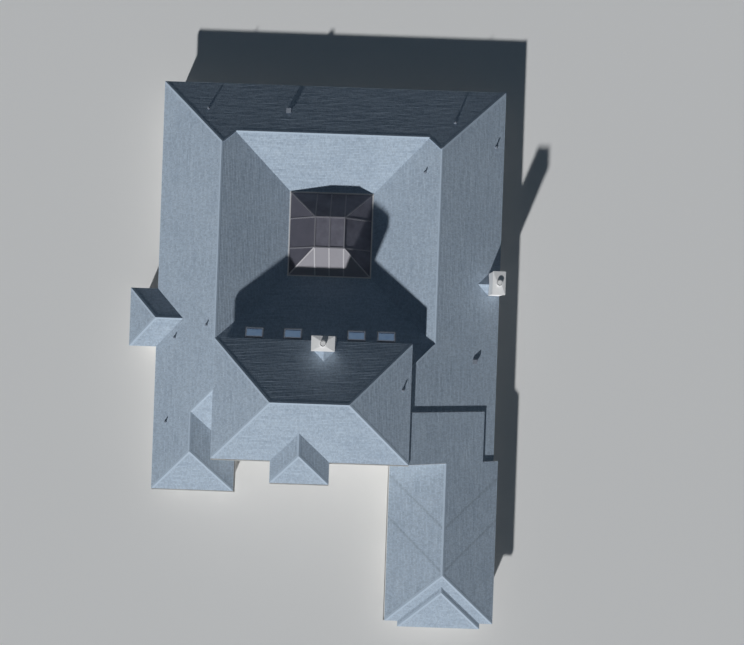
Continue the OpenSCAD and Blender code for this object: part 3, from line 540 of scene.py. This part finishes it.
def pavingMaterial():
    mat, tree, shader = newMaterial("courtPaving", roughness=0.75)
    coords = objectCoords(tree)
    brick = node(tree, "TexBrick", Scale=1.0, offset=0.5)
    brick.inputs["Brick Width"].default_value, brick.inputs["Row Height"].default_value = paving["stone"]
    brick.inputs["Mortar Size"].default_value = paving["joint"]
    for key, tone in (("Color1", "light"), ("Color2", "dark"), ("Mortar", "mortar")):
        brick.inputs[key].default_value = (*paving[tone], 1.0)
    link(tree, coords, brick.inputs["Vector"])
    dust = times(tree, noise(tree, coords, scale=30.0, detail=5.0), paving["dusty"])
    color = mixColor(tree, dust, brick.outputs["Color"], paving["dust"])
    link(tree, color, shader.inputs["Base Color"])
    bump(tree, brick.outputs["Fac"], shader, strength=-0.4, distance=0.004)
    return mat


concrete = {"dark": (0.42, 0.41, 0.39), "light": (0.56, 0.55, 0.52), "pits": 40.0}


def concreteMaterial():
    mat, tree, shader = newMaterial("castConcrete", roughness=0.8)
    coords = objectCoords(tree)
    broad = noise(tree, coords, scale=1.3, detail=6.0)
    color = ramp(tree, broad, ((0.3, concrete["dark"]), (0.7, concrete["light"])))
    link(tree, color, shader.inputs["Base Color"])
    pits = noise(tree, coords, concrete["pits"], detail=5.0)
    bump(tree, pits, shader, strength=0.3, distance=0.003)
    return mat


finish = {
    "shingle": shingleMaterial(),
    "cap": capMaterial(),
    "stucco": stuccoMaterial(),
    "chimney": paintMaterial("chimneyPaint", (0.95, 0.95, 0.945), roughness=0.7, wear=(0.87, 0.86, 0.84)),
    "trim": paintMaterial("whiteTrim", (0.79, 0.79, 0.78)),
    "frame": paintMaterial("whiteFrame", (0.77, 0.77, 0.77), roughness=0.35),
    "rollerDoor": paintMaterial("doorPaint", (0.62, 0.60, 0.56), roughness=0.45),
    "rubber": paintMaterial("sealRubber", (0.055, 0.055, 0.060), roughness=0.6, wear=(0.10, 0.10, 0.105)),
    "glass": glassMaterial(),
    "skyGlass": skylightMaterial(),
    "screen": screenMaterial(),
    "screenMetal": screenFrameMaterial(),
    "curbMetal": metalMaterial("curbMetal", (0.27, 0.32, 0.40), roughness=0.45, metallic=0.5),
    "lead": metalMaterial("leadFlashing", (0.24, 0.275, 0.33), roughness=0.6, metallic=0.25),
    "hardware": metalMaterial("brushedNickel", (0.55, 0.54, 0.52), roughness=0.3),
    "wood": woodMaterial(),
    "paving": pavingMaterial(),
    "concrete": concreteMaterial(),
}
print("finishes")

# The roof decks are trim: shingles cover their tops, and only edges and undersides show
nodeFinish = {
    "stucco": ("back_wall", "left_walls", "front_wing_walls", "entry_wall", "right_wall", "garage_door_wall",
        "garage_walls", "garage_back_wall", "court_walls", "block_back_wall", "block_side_walls"),
    "chimney": ("back_chimney", "side_chimney", "chimney_caps"),
    "trim": ("wing_eaves", "block_eaves", "terrace_posts", "porch_columns", "gutters", "back_roof",
        "left_roof", "right_roof", "terrace_roof", "front_wing_roof", "bay_roof", "garage_roof",
        "block_roof", "porch_roof", "link_roof", "crickets"),
    "frame": ("window_frames", "front_frames", "garden_door_frames"),
    "glass": ("window_panes", "front_panes", "garden_door_panes"),
    "rollerDoor": ("roller_doors",),
    "wood": ("entry_doors",),
    "paving": ("court_deck",),
    "concrete": ("floor_slab",),
    "curbMetal": ("skylight_curbs",),
    "skyGlass": ("skylight_panes",),
    "screenMetal": ("screen_frame",),
    "screen": ("screen_panels",),
    "lead": ("vent_pipes",),
}


def dressNodes():
    for name, members in nodeFinish.items():
        for member in members:
            mesh = nodes[member].data
            mesh.materials.clear()
            mesh.materials.append(finish[name])


# Turning a bmesh into a piece of the house, and small tools for a bmesh

mergeGap = 0.0001  # corners closer than this are one


def makePiece(bm, name, material, solid=0.0, bevel=0.0):
    mesh = bpy.data.meshes.new(name)
    bm.to_mesh(mesh)
    bm.free()
    obj = bpy.data.objects.new(name, mesh)
    scene.collection.objects.link(obj)
    mesh.materials.append(material)
    if bevel:
        mod = obj.modifiers.new("edge", "BEVEL")
        mod.width = bevel
        mod.segments = 2
        mod.limit_method = "ANGLE"
    if solid:
        mod = obj.modifiers.new("thickness", "SOLIDIFY")
        mod.thickness = solid
        mod.offset = -1.0
    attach(obj, "root")


def cutAt(bm, z, gap, clearBelow=False):
    bmesh.ops.bisect_plane(bm, geom=bm.verts[:] + bm.edges[:] + bm.faces[:], dist=gap,
        plane_co=(0.0, 0.0, z), plane_no=(0.0, 0.0, 1.0), clear_inner=clearBelow)


def extrudeEdges(bm, edges):
    grown = bmesh.ops.extrude_edge_only(bm, edges=edges)["geom"]
    return [g for g in grown if isinstance(g, bmesh.types.BMVert)]


def addBox(bm, lo, hi):
    lo, hi = Vector(lo), Vector(hi)
    place = Matrix.Translation((lo + hi) / 2) @ Matrix.Diagonal((*(hi - lo), 1.0))
    return bmesh.ops.create_cube(bm, size=1.0, matrix=place)["verts"]


def addCone(bm, middle, foot, head, high, segments):
    bmesh.ops.create_cone(bm, cap_ends=True, cap_tris=False, segments=segments, radius1=foot,
        radius2=head, depth=high, matrix=Matrix.Translation(middle))


# Shingle rows: the top of a roof deck, cut level by level and tilted into laps

rows = {
    "lap": 0.0045,  # how far a row's lower edge stands proud
    "sheet": 0.004,
    "normals": (0.85, 0.95),  # upward part of a slope's normal
    "flat": 0.5,  # degrees, faces that turn less than this are one slope
    "cutGap": 0.00005,
    "belowTop": 0.0005,  # no cut is nearer to the ridge than this
    "level": 0.0001,  # an edge that climbs less than this is level
    "offRow": 0.002,  # part of a row that a cut may be off
    "rounding": 0.0001,
    "merge": 0.0003,
    "roofs": {
        "back_roof": "wing", "left_roof": "wing", "right_roof": "wing", "terrace_roof": "wing",
        "front_wing_roof": "wing", "bay_roof": "wing", "garage_roof": "wing", "link_roof": "wing",
        "block_roof": "block", "porch_roof": "block", "crickets": "wing",
    },
}


def dissolveFlat(bm):
    bmesh.ops.dissolve_limit(bm, angle_limit=math.radians(rows["flat"]), verts=bm.verts[:],
        edges=bm.edges[:])
    bm.normal_update()


def roofTops(name):
    bm = bmesh.new()
    bm.from_mesh(nodes[name].data)
    for face in bm.faces:
        face.smooth = False
    bmesh.ops.remove_doubles(bm, verts=bm.verts[:], dist=mergeGap)
    bm.normal_update()
    low, high = rows["normals"]
    others = [f for f in bm.faces if not low < f.normal.z < high]
    bmesh.ops.delete(bm, geom=others, context="FACES")
    dissolveFlat(bm)
    return bm


def lowestPoint(name):
    bm = roofTops(name)
    low = min(v.co.z for v in bm.verts)
    bm.free()
    return low


def addUv(bm, start, slopeSine):
    layer = bm.loops.layers.uv.new("slope")
    for face in bm.faces:
        sideways = abs(face.normal.x) > abs(face.normal.y)
        for loop in face.loops:
            place = loop.vert.co
            across = place.y if sideways else place.x
            loop[layer].uv = (across, (place.z - start) / slopeSine)


def isLevel(edge):
    return abs(edge.verts[0].co.z - edge.verts[1].co.z) < rows["level"]


def isRowCut(edge, start, step):
    if edge.is_boundary or not isLevel(edge):
        return False
    count = (edge.verts[0].co.z - start) / step
    return abs(count - round(count)) < rows["offRow"]


def tiltRows(bm, start, step, lift):
    heights = {}
    for face in bm.faces:
        row = math.floor((face.calc_center_median().z - start) / step + rows["rounding"])
        for vert in face.verts:
            part = (start + (row + 1) * step - vert.co.z) / step
            heights[vert] = min(max(part, 0.0), 1.0) * lift
    # butts are the lower edges of the rows, where a row's thickness shows
    butts = [e for e in bm.edges if e.is_boundary and isLevel(e)
        and e.link_faces[0].calc_center_median().z > e.verts[0].co.z]
    for vert, height in heights.items():
        vert.co.z += height
    for vert in extrudeEdges(bm, butts):
        vert.co.z -= lift


def shingleRows(name, start):
    bm = roofTops(name)
    slant = math.acos(min(1.0, bm.faces[:][0].normal.z))  # the same on every slope of a roof
    step = shingle["row"] * math.sin(slant)
    lift = rows["lap"] / math.cos(slant)
    top = max(v.co.z for v in bm.verts)
    low = min(v.co.z for v in bm.verts)
    k = max(math.floor((low - start) / step), 0) + 1
    while start + k * step < top - rows["belowTop"]:
        cutAt(bm, start + k * step, rows["cutGap"])
        k += 1
    addUv(bm, start, math.sin(slant))
    bmesh.ops.split_edges(bm, edges=[e for e in bm.edges if isRowCut(e, start, step)])
    tiltRows(bm, start, step, lift)
    bmesh.ops.remove_doubles(bm, verts=bm.verts[:], dist=rows["merge"])
    bm.normal_update()
    return bm


def addShingles():
    starts = {"wing": lowestPoint("back_roof"), "block": lowestPoint("block_roof")}
    for name, kind in rows["roofs"].items():
        bm = shingleRows(name, starts[kind])
        words = name.split("_")
        pieceName = words[0] + "".join(w.capitalize() for w in words[1:]) + "Shingles"
        makePiece(bm, pieceName, finish["shingle"], solid=rows["sheet"])
        print("shingles on", name)


# Caps over ridges and hips: short folded shingles that lap each other

caps = {
    "width": 0.076,
    "pace": 0.066,
    "length": 1.12,  # of one cap, in paces
    "rise": 0.0055,
    "lap": 0.004,  # extra rise of a cap's lower end
    "tail": 0.001,  # and of its upper end
    "sheet": 0.0035,
    "sharp": 8.0,  # degrees, the least fold of a ridge or hip
    "clear": 0.011,  # caps end this far above the eave
    "merge": 0.0005,
    "groups": {
        "wingCaps": ("back_roof", "left_roof", "right_roof", "terrace_roof", "front_wing_roof", "bay_roof"),
        "garageCaps": ("garage_roof",),
        "blockCaps": ("block_roof", "porch_roof"),
    },
}


def ridgeLines(names):
    bm = bmesh.new()
    for name in names:
        part = roofTops(name)
        mesh = bpy.data.meshes.new("slopes")
        part.to_mesh(mesh)
        part.free()
        bm.from_mesh(mesh)
        bpy.data.meshes.remove(mesh)
    bmesh.ops.remove_doubles(bm, verts=bm.verts[:], dist=caps["merge"])
    dissolveFlat(bm)
    lines = []
    for edge in bm.edges:
        if len(edge.link_faces) == 2 and edge.calc_face_angle_signed() > math.radians(caps["sharp"]):
            ends = sorted((v.co.copy() for v in edge.verts), key=lambda c: (c.z, c.x, c.y))
            normals = [f.normal.copy() for f in edge.link_faces]
            middles = [f.calc_center_median() for f in edge.link_faces]
            lines.append((ends, normals, middles))
    bm.free()
    return lines


def capStrip(bm, ends, normals, middles):
    a, b = ends
    along = b - a
    length = along.length
    if length < caps["pace"] * 2:
        return
    along.normalize()
    wings = []
    for normal, middle in zip(normals, middles):
        wing = normal.cross(along).normalized()
        wings.append(wing if wing.dot(middle - a) > 0.0 else -wing)
    up = (normals[0] + normals[1]).normalized()
    count = max(2, round(length / caps["pace"]))
    pace = length / count
    for k in range(count):
        made = bmesh.ops.create_grid(bm, x_segments=2, y_segments=1, size=1.0)["verts"]
        for vert in made:
            side, isLower = round(vert.co.x), vert.co.y < 0.0
            reach = min((k + (0.0 if isLower else caps["length"])) * pace, length)
            spread = Vector() if side == 0 else wings[0 if side < 0 else 1] * caps["width"]
            lift = caps["rise"] + caps["lap" if isLower else "tail"]
            vert.co = a + along * reach + spread + up * lift


def addCaps():
    for group, names in caps["groups"].items():
        bm = bmesh.new()
        for line in ridgeLines(names):
            capStrip(bm, *line)
        eave = min(lowestPoint(name) for name in names)
        cutAt(bm, eave + caps["clear"], mergeGap, clearBelow=True)
        bmesh.ops.recalc_face_normals(bm, faces=bm.faces[:])
        for face in bm.faces:
            if face.normal.z < 0.0:
                face.normal_flip()
        makePiece(bm, group, finish["cap"], solid=caps["sheet"])


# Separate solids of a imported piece, each as the two corners of its box

def islands(name):
    bm = bmesh.new()
    bm.from_mesh(nodes[name].data)
    bmesh.ops.remove_doubles(bm, verts=bm.verts[:], dist=mergeGap)
    seen = set()
    boxes = []
    for first in bm.verts:
        if first in seen:
            continue
        seen.add(first)
        waiting = [first]
        places = []
        while waiting:
            vert = waiting.pop()
            places.append(vert.co.copy())
            for edge in vert.link_edges:
                other = edge.other_vert(vert)
                if other not in seen:
                    seen.add(other)
                    waiting.append(other)
        lo = Vector([min(c[i] for c in places) for i in range(3)])
        hi = Vector([max(c[i] for c in places) for i in range(3)])
        boxes.append((lo, hi))
    bm.free()
    return boxes


# A window or door seen from outside: u runs along the wall, z up and d out from the wall's face

wallFace = {
    "setBack": 0.020,  # frames and doors stand this far behind the wall's face
    "court": (0.4625, 4.957),  # middle of the court, which the garden doors face
    "backFrom": 9.0,  # walls beyond this face the back
}


def facing(name, lo, hi):
    axis = 0 if hi.x - lo.x < hi.y - lo.y else 1
    middle = (lo + hi) / 2
    if name == "garden_door_frames":
        out = 1 if wallFace["court"][axis] > middle[axis] else -1
    elif name == "roller_doors":
        out = -1
    elif axis == 0:
        out = 1 if middle.x > 0.0 else -1
    else:
        out = 1 if middle.y > wallFace["backFrom"] else -1
    edge = hi[axis] if out > 0 else lo[axis]
    return {"axis": axis, "out": out, "face": edge + out * wallFace["setBack"],
        "u": (lo[1 - axis], hi[1 - axis]), "z": (lo.z, hi.z)}


def openingsOf(*names):
    return [facing(name, lo, hi) for name in names for lo, hi in islands(name)]


def wallBox(bm, win, u, z, d):
    lo, hi = Vector((0.0, 0.0, z[0])), Vector((0.0, 0.0, z[1]))
    lo[1 - win["axis"]], hi[1 - win["axis"]] = u
    lo[win["axis"]], hi[win["axis"]] = sorted(win["face"] + win["out"] * v for v in d)
    return addBox(bm, lo, hi)


# Surrounds: raised bands round each opening, with a sill under the windows

surround = {
    "band": 0.045,  # width of a band
    "proud": 0.010,
    "headProud": 0.018,
    "cap": 0.016,  # height of the strip above the head
    "capProud": 0.028,
    "sill": 0.030,
    "sillProud": 0.034,
    "sillOver": 0.020,  # the sill passes the bands by this, and the strip by half of it
    "in": 0.012,  # how far the bands reach into the wall
    "doorFrom": 0.2,  # an opening that starts lower than this is a door
    "edge": 0.0025,
}


def addSurrounds():
    bm = bmesh.new()
    o = surround
    for win in openingsOf("window_frames", "front_frames", "garden_door_frames", "roller_doors"):
        (u0, u1), (z0, z1) = win["u"], win["z"]
        left, right = u0 - o["band"], u1 + o["band"]
        over = o["sillOver"]
        isDoor = z0 < o["doorFrom"]
        low = z0 if isDoor else z0 - o["sill"]
        head = z1 + o["band"]
        for side in ((left, u0), (u1, right)):
            wallBox(bm, win, side, (low, z1), (-o["in"], o["proud"]))
        wallBox(bm, win, (left, right), (z1, head), (-o["in"], o["headProud"]))
        wallBox(bm, win, (left - over / 2, right + over / 2), (head, head + o["cap"]),
            (-o["in"], o["capProud"]))
        if not isDoor:
            wallBox(bm, win, (left - over, right + over), (low, z0), (-wallFace["setBack"], o["sillProud"]))
    makePiece(bm, "openingSurrounds", finish["trim"], bevel=o["edge"])


# Slender bars that divide the glass, on the outside of each pane

bars = {
    "width": 0.009,
    "proud": 0.005,
    "sunk": 0.0005,
    "across": 0.20,  # usual width and height of one light
    "up": 0.26,
    "edge": 0.0015,
    "panes": {"window_panes": "window_frames", "front_panes": "front_frames",
        "garden_door_panes": "garden_door_frames"},
}


def addBars():
    bm = bmesh.new()
    glassFace = -wallFace["setBack"]
    depth = (glassFace - bars["sunk"], glassFace + bars["proud"])
    half = bars["width"] / 2
    for panes, frames in bars["panes"].items():
        for lo, hi in islands(panes):
            win = facing(frames, lo, hi)
            (u0, u1), (z0, z1) = win["u"], win["z"]
            across = max(1, round((u1 - u0) / bars["across"]))
            up = max(1, round((z1 - z0) / bars["up"]))
            for k in range(1, across):
                u = u0 + (u1 - u0) * k / across
                wallBox(bm, win, (u - half, u + half), (z0, z1), depth)
            for k in range(1, up):
                z = z0 + (z1 - z0) * k / up
                wallBox(bm, win, (u0, u1), (z - half, z + half), depth)
    makePiece(bm, "glazingBars", finish["frame"], bevel=bars["edge"])


# Garage doors: raised fields on each section, and a lifting handle

roller = {
    "sections": 4,
    "fields": 5,
    "margin": 0.022,
    "proud": 0.009,
    "sunk": 0.004,
    "slope": 0.008,  # width of the slope round a field
    "handle": (0.07, 0.012),  # length and height
    "grip": (0.012, 0.020),  # its back and front, from the door's face
    "leg": (0.01, 0.013),  # width and reach of the two legs
    "handleEdge": 0.002,
}


def raisedField(bm, win, u, z):
    doorFace = -wallFace["setBack"]
    verts = wallBox(bm, win, u, z, (doorFace - roller["sunk"], doorFace + roller["proud"]))
    faces = [f for v in verts for f in v.link_faces]
    outer = max(faces, key=lambda f: f.calc_center_median()[win["axis"]] * win["out"])
    bmesh.ops.bevel(bm, geom=outer.edges[:], offset=roller["slope"], offset_type="OFFSET", segments=1,
        profile=0.5, affect="EDGES", material=-1)


def addRollerDetails():
    fields, handles = bmesh.new(), bmesh.new()
    doorFace = -wallFace["setBack"]
    margin = roller["margin"]
    length, height = roller["handle"]
    legWidth, legReach = roller["leg"]
    for win in openingsOf("roller_doors"):
        (u0, u1), (z0, z1) = win["u"], win["z"]
        rise = (z1 - z0) / roller["sections"]
        run = (u1 - u0) / roller["fields"]
        for i in range(roller["sections"]):
            for k in range(roller["fields"]):
                u = (u0 + k * run + margin, u0 + (k + 1) * run - margin)
                z = (z0 + i * rise + margin, z0 + (i + 1) * rise - margin)
                raisedField(fields, win, u, z)
        left, right = (u0 + u1) / 2 - length / 2, (u0 + u1) / 2 + length / 2
        z = (z0 + rise / 2, z0 + rise / 2 + height)
        wallBox(handles, win, (left, right), z, [doorFace + d for d in roller["grip"]])
        for u in (left, right - legWidth):
            wallBox(handles, win, (u, u + legWidth), z, (doorFace, doorFace + legReach))
    makePiece(fields, "rollerDoorFields", finish["rollerDoor"])
    makePiece(handles, "rollerDoorHandles", finish["hardware"], bevel=roller["handleEdge"])


# Levers on the front doors and the garden doors, and hinges on the front doors

handle = {
    "height": 0.50,  # above the foot of the door
    "inset": 0.03,  # from where the front doors meet
    "plate": (0.016, 0.085, 0.004),  # width, height and thickness
    "bar": 0.005,  # half the thickness of the stem and the lever
    "stem": 0.022,
    "lever": 0.055,
    "leverDepth": (0.016, 0.024),
    "hinges": (0.14, 0.5, 0.86),  # parts of the door's height
    "hinge": (0.012, 0.06),  # width and height
    "hingeDepth": (-0.002, 0.006),
    "edge": 0.0015,
}


def addLever(bm, win, u, side):
    z = win["z"][0] + handle["height"]
    base = -wallFace["setBack"]
    wide, high, thick = handle["plate"]
    bar = handle["bar"]
    wallBox(bm, win, (u - wide / 2, u + wide / 2), (z - high / 2, z + high / 2), (base, base + thick))
    wallBox(bm, win, (u - bar, u + bar), (z - bar, z + bar), (base, base + handle["stem"]))
    ends = sorted((u - side * bar, u + side * handle["lever"]))
    wallBox(bm, win, ends, (z - bar, z + bar), [base + d for d in handle["leverDepth"]])


def addDoorHardware():
    bm = bmesh.new()
    base = -wallFace["setBack"]
    wide, high = handle["hinge"]
    lo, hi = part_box("entry_doors")
    for win in openingsOf("entry_doors"):
        (u0, u1), (z0, z1) = win["u"], win["z"]
        isLeft = u0 + u1 < lo[0] + hi[0]
        meets, outer, side = (u1, u0, -1) if isLeft else (u0, u1, 1)
        addLever(bm, win, meets + side * handle["inset"], side)
        for part in handle["hinges"]:
            z = z0 + (z1 - z0) * part
            wallBox(bm, win, (outer - wide / 2, outer + wide / 2), (z - high / 2, z + high / 2),
                [base + d for d in handle["hingeDepth"]])
    for win in openingsOf("garden_door_frames"):
        addLever(bm, win, sum(win["u"]) / 2, 1)
    makePiece(bm, "doorHardware", finish["hardware"], bevel=handle["edge"])


# Metal round what stands through the slopes, set at the height of the roof deck under it

def roofUnder(x, y, below):
    heights = [0.0]
    for name in rows["roofs"]:
        hit, point = nodes[name].ray_cast(Vector((x, y, below)), Vector((0.0, 0.0, -1.0)))[:2]
        if hit:
            heights.append(point.z)
    return max(heights)


flashing = {"wide": 0.035, "lift": 0.0085, "thick": 0.0015, "pitch": 0.5}  # pitch of the terrace roof


def addSkylightFlashing():
    bm = bmesh.new()
    tilt = math.atan(flashing["pitch"])
    turned = Matrix.Rotation(-tilt, 4, "X")
    for lo, hi in islands("skylight_curbs"):
        middle = (lo + hi) / 2
        middle.z = roofUnder(lo.x - flashing["wide"], middle.y, hi.z) + flashing["lift"]
        size = Matrix.Diagonal((hi.x - lo.x, (hi.y - lo.y) / math.cos(tilt), 1.0, 1.0))
        place = Matrix.Translation(middle) @ turned @ size
        made = bmesh.ops.create_grid(bm, x_segments=1, y_segments=1, size=0.5, matrix=place)
        sheet = made["verts"][0].link_faces[0]
        for vert in extrudeEdges(bm, sheet.edges[:]):
            away = place.inverted() @ vert.co
            for i in (0, 1):
                vert.co += turned.to_3x3().col[i] * math.copysign(flashing["wide"], away[i])
        bmesh.ops.delete(bm, geom=[sheet], context="FACES_ONLY")
    makePiece(bm, "skylightFlashing", finish["lead"], solid=flashing["thick"])


# Step flashing: short pieces that climb the slope where a chimney comes through

stepFlashing = {
    "pace": 0.055,
    "high": 0.042,
    "sunk": 0.012,
    "thick": 0.0025,
    "into": 0.001,  # how far it reaches into the chimney
    "gap": 0.006,  # the slope is felt this far from the chimney
    "inset": 0.001,  # and this far from the piece's ends
    "lowest": 1.0,  # there is no roof below this height
}


def addStepPiece(bm, axis, out, wall, ends, above):
    o = stepFlashing
    spot = [0.0, 0.0]
    spot[axis] = wall + out * o["gap"]
    tops = []
    for u in (ends[0] + o["inset"], ends[1] - o["inset"]):
        spot[1 - axis] = u
        tops.append(roofUnder(*spot, above))
    if min(tops) < o["lowest"] or max(tops) - min(tops) > ends[1] - ends[0]:
        return
    lo = Vector((0.0, 0.0, min(tops) - o["sunk"]))
    hi = Vector((0.0, 0.0, max(tops) + o["high"]))
    lo[1 - axis], hi[1 - axis] = ends
    lo[axis], hi[axis] = sorted((wall - out * o["into"], wall + out * o["thick"]))
    addBox(bm, lo, hi)


def addStepFlashing():
    bm = bmesh.new()
    for name in ("back_chimney", "side_chimney"):
        lo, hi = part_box(name)
        for axis in (0, 1):
            first, length = lo[1 - axis], hi[1 - axis] - lo[1 - axis]
            count = round(length / stepFlashing["pace"])
            pace = length / count
            for out, wall in ((-1, lo[axis]), (1, hi[axis])):
                for k in range(count):
                    ends = (first + k * pace, first + (k + 1) * pace)
                    addStepPiece(bm, axis, out, wall, ends, hi[2])
    makePiece(bm, "chimneyFlashing", finish["lead"])


# A sealing collar round each round vent pipe

collar = {
    "wide": 0.040,
    "narrow": 0.029,
    "high": 0.030,
    "middle": 0.7,  # height of its middle above the slope, in parts of its height
    "boxVent": 0.15,  # vents wider than this are square and get none
    "above": 0.5,  # the slope is sought from this far over the pipe
}


def addPipeCollars():
    bm = bmesh.new()
    for lo, hi in islands("vent_pipes"):
        if min(hi.x - lo.x, hi.y - lo.y) > collar["boxVent"]:
            continue
        middle = (lo + hi) / 2
        slope = roofUnder(middle.x, middle.y, hi.z + collar["above"])
        middle.z = slope + collar["high"] * collar["middle"]
        addCone(bm, middle, collar["wide"], collar["narrow"], collar["high"], segments=24)
    makePiece(bm, "pipeCollars", finish["rubber"])


# Straps that hold the downpipes to the walls

strap = {
    "levels": (0.22, 0.66, 1.10),
    "high": 0.018,
    "proud": 0.003,
    "edge": 0.001,
    "footUnder": 0.05,  # only a downpipe's foot is lower than this
    "gap": 0.001,
}


def addDownpipeStraps():
    bm = bmesh.new()
    gap, proud = strap["gap"], strap["proud"]
    feet = [v.co.copy() for v in nodes["gutters"].data.vertices if v.co.z < strap["footUnder"]]
    for lo, hi in islands("gutters"):
        if lo.z > strap["footUnder"]:
            continue
        own = [c for c in feet if lo.x - gap <= c.x <= hi.x + gap and lo.y - gap <= c.y <= hi.y + gap]
        x0, x1 = min(c.x for c in own), max(c.x for c in own)
        y0, y1 = min(c.y for c in own), max(c.y for c in own)
        for z in strap["levels"]:
            addBox(bm, (x0 - proud, y0 - proud, z), (x1 + proud, y1 + proud, z + strap["high"]))
    makePiece(bm, "downpipeStraps", finish["trim"], bevel=strap["edge"])


# Plates over the flues

fluePlate = {"radius": 0.088, "below": 0.012, "thick": 0.006, "edge": 0.002}


def addFluePlates():
    bm = bmesh.new()
    radius, thick = fluePlate["radius"], fluePlate["thick"]
    for lo, hi in islands("chimney_caps"):
        middle = (lo + hi) / 2
        middle.z = hi.z - fluePlate["below"] - thick / 2
        addCone(bm, middle, radius, radius, thick, segments=32)
    makePiece(bm, "fluePlates", finish["chimney"], bevel=fluePlate["edge"])


# Camera, light and floor come first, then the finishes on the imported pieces
addCamera()
addSun()
addWorld()
addFloor()
dressNodes()
print("stage and finishes set")

addShingles()
addCaps()
print("ridge and hip caps")
addSurrounds()
addBars()
addRollerDetails()
addDoorHardware()
print("windows and doors")
addSkylightFlashing()
addStepFlashing()
addPipeCollars()
addDownpipeStraps()
addFluePlates()
print("roof metal")
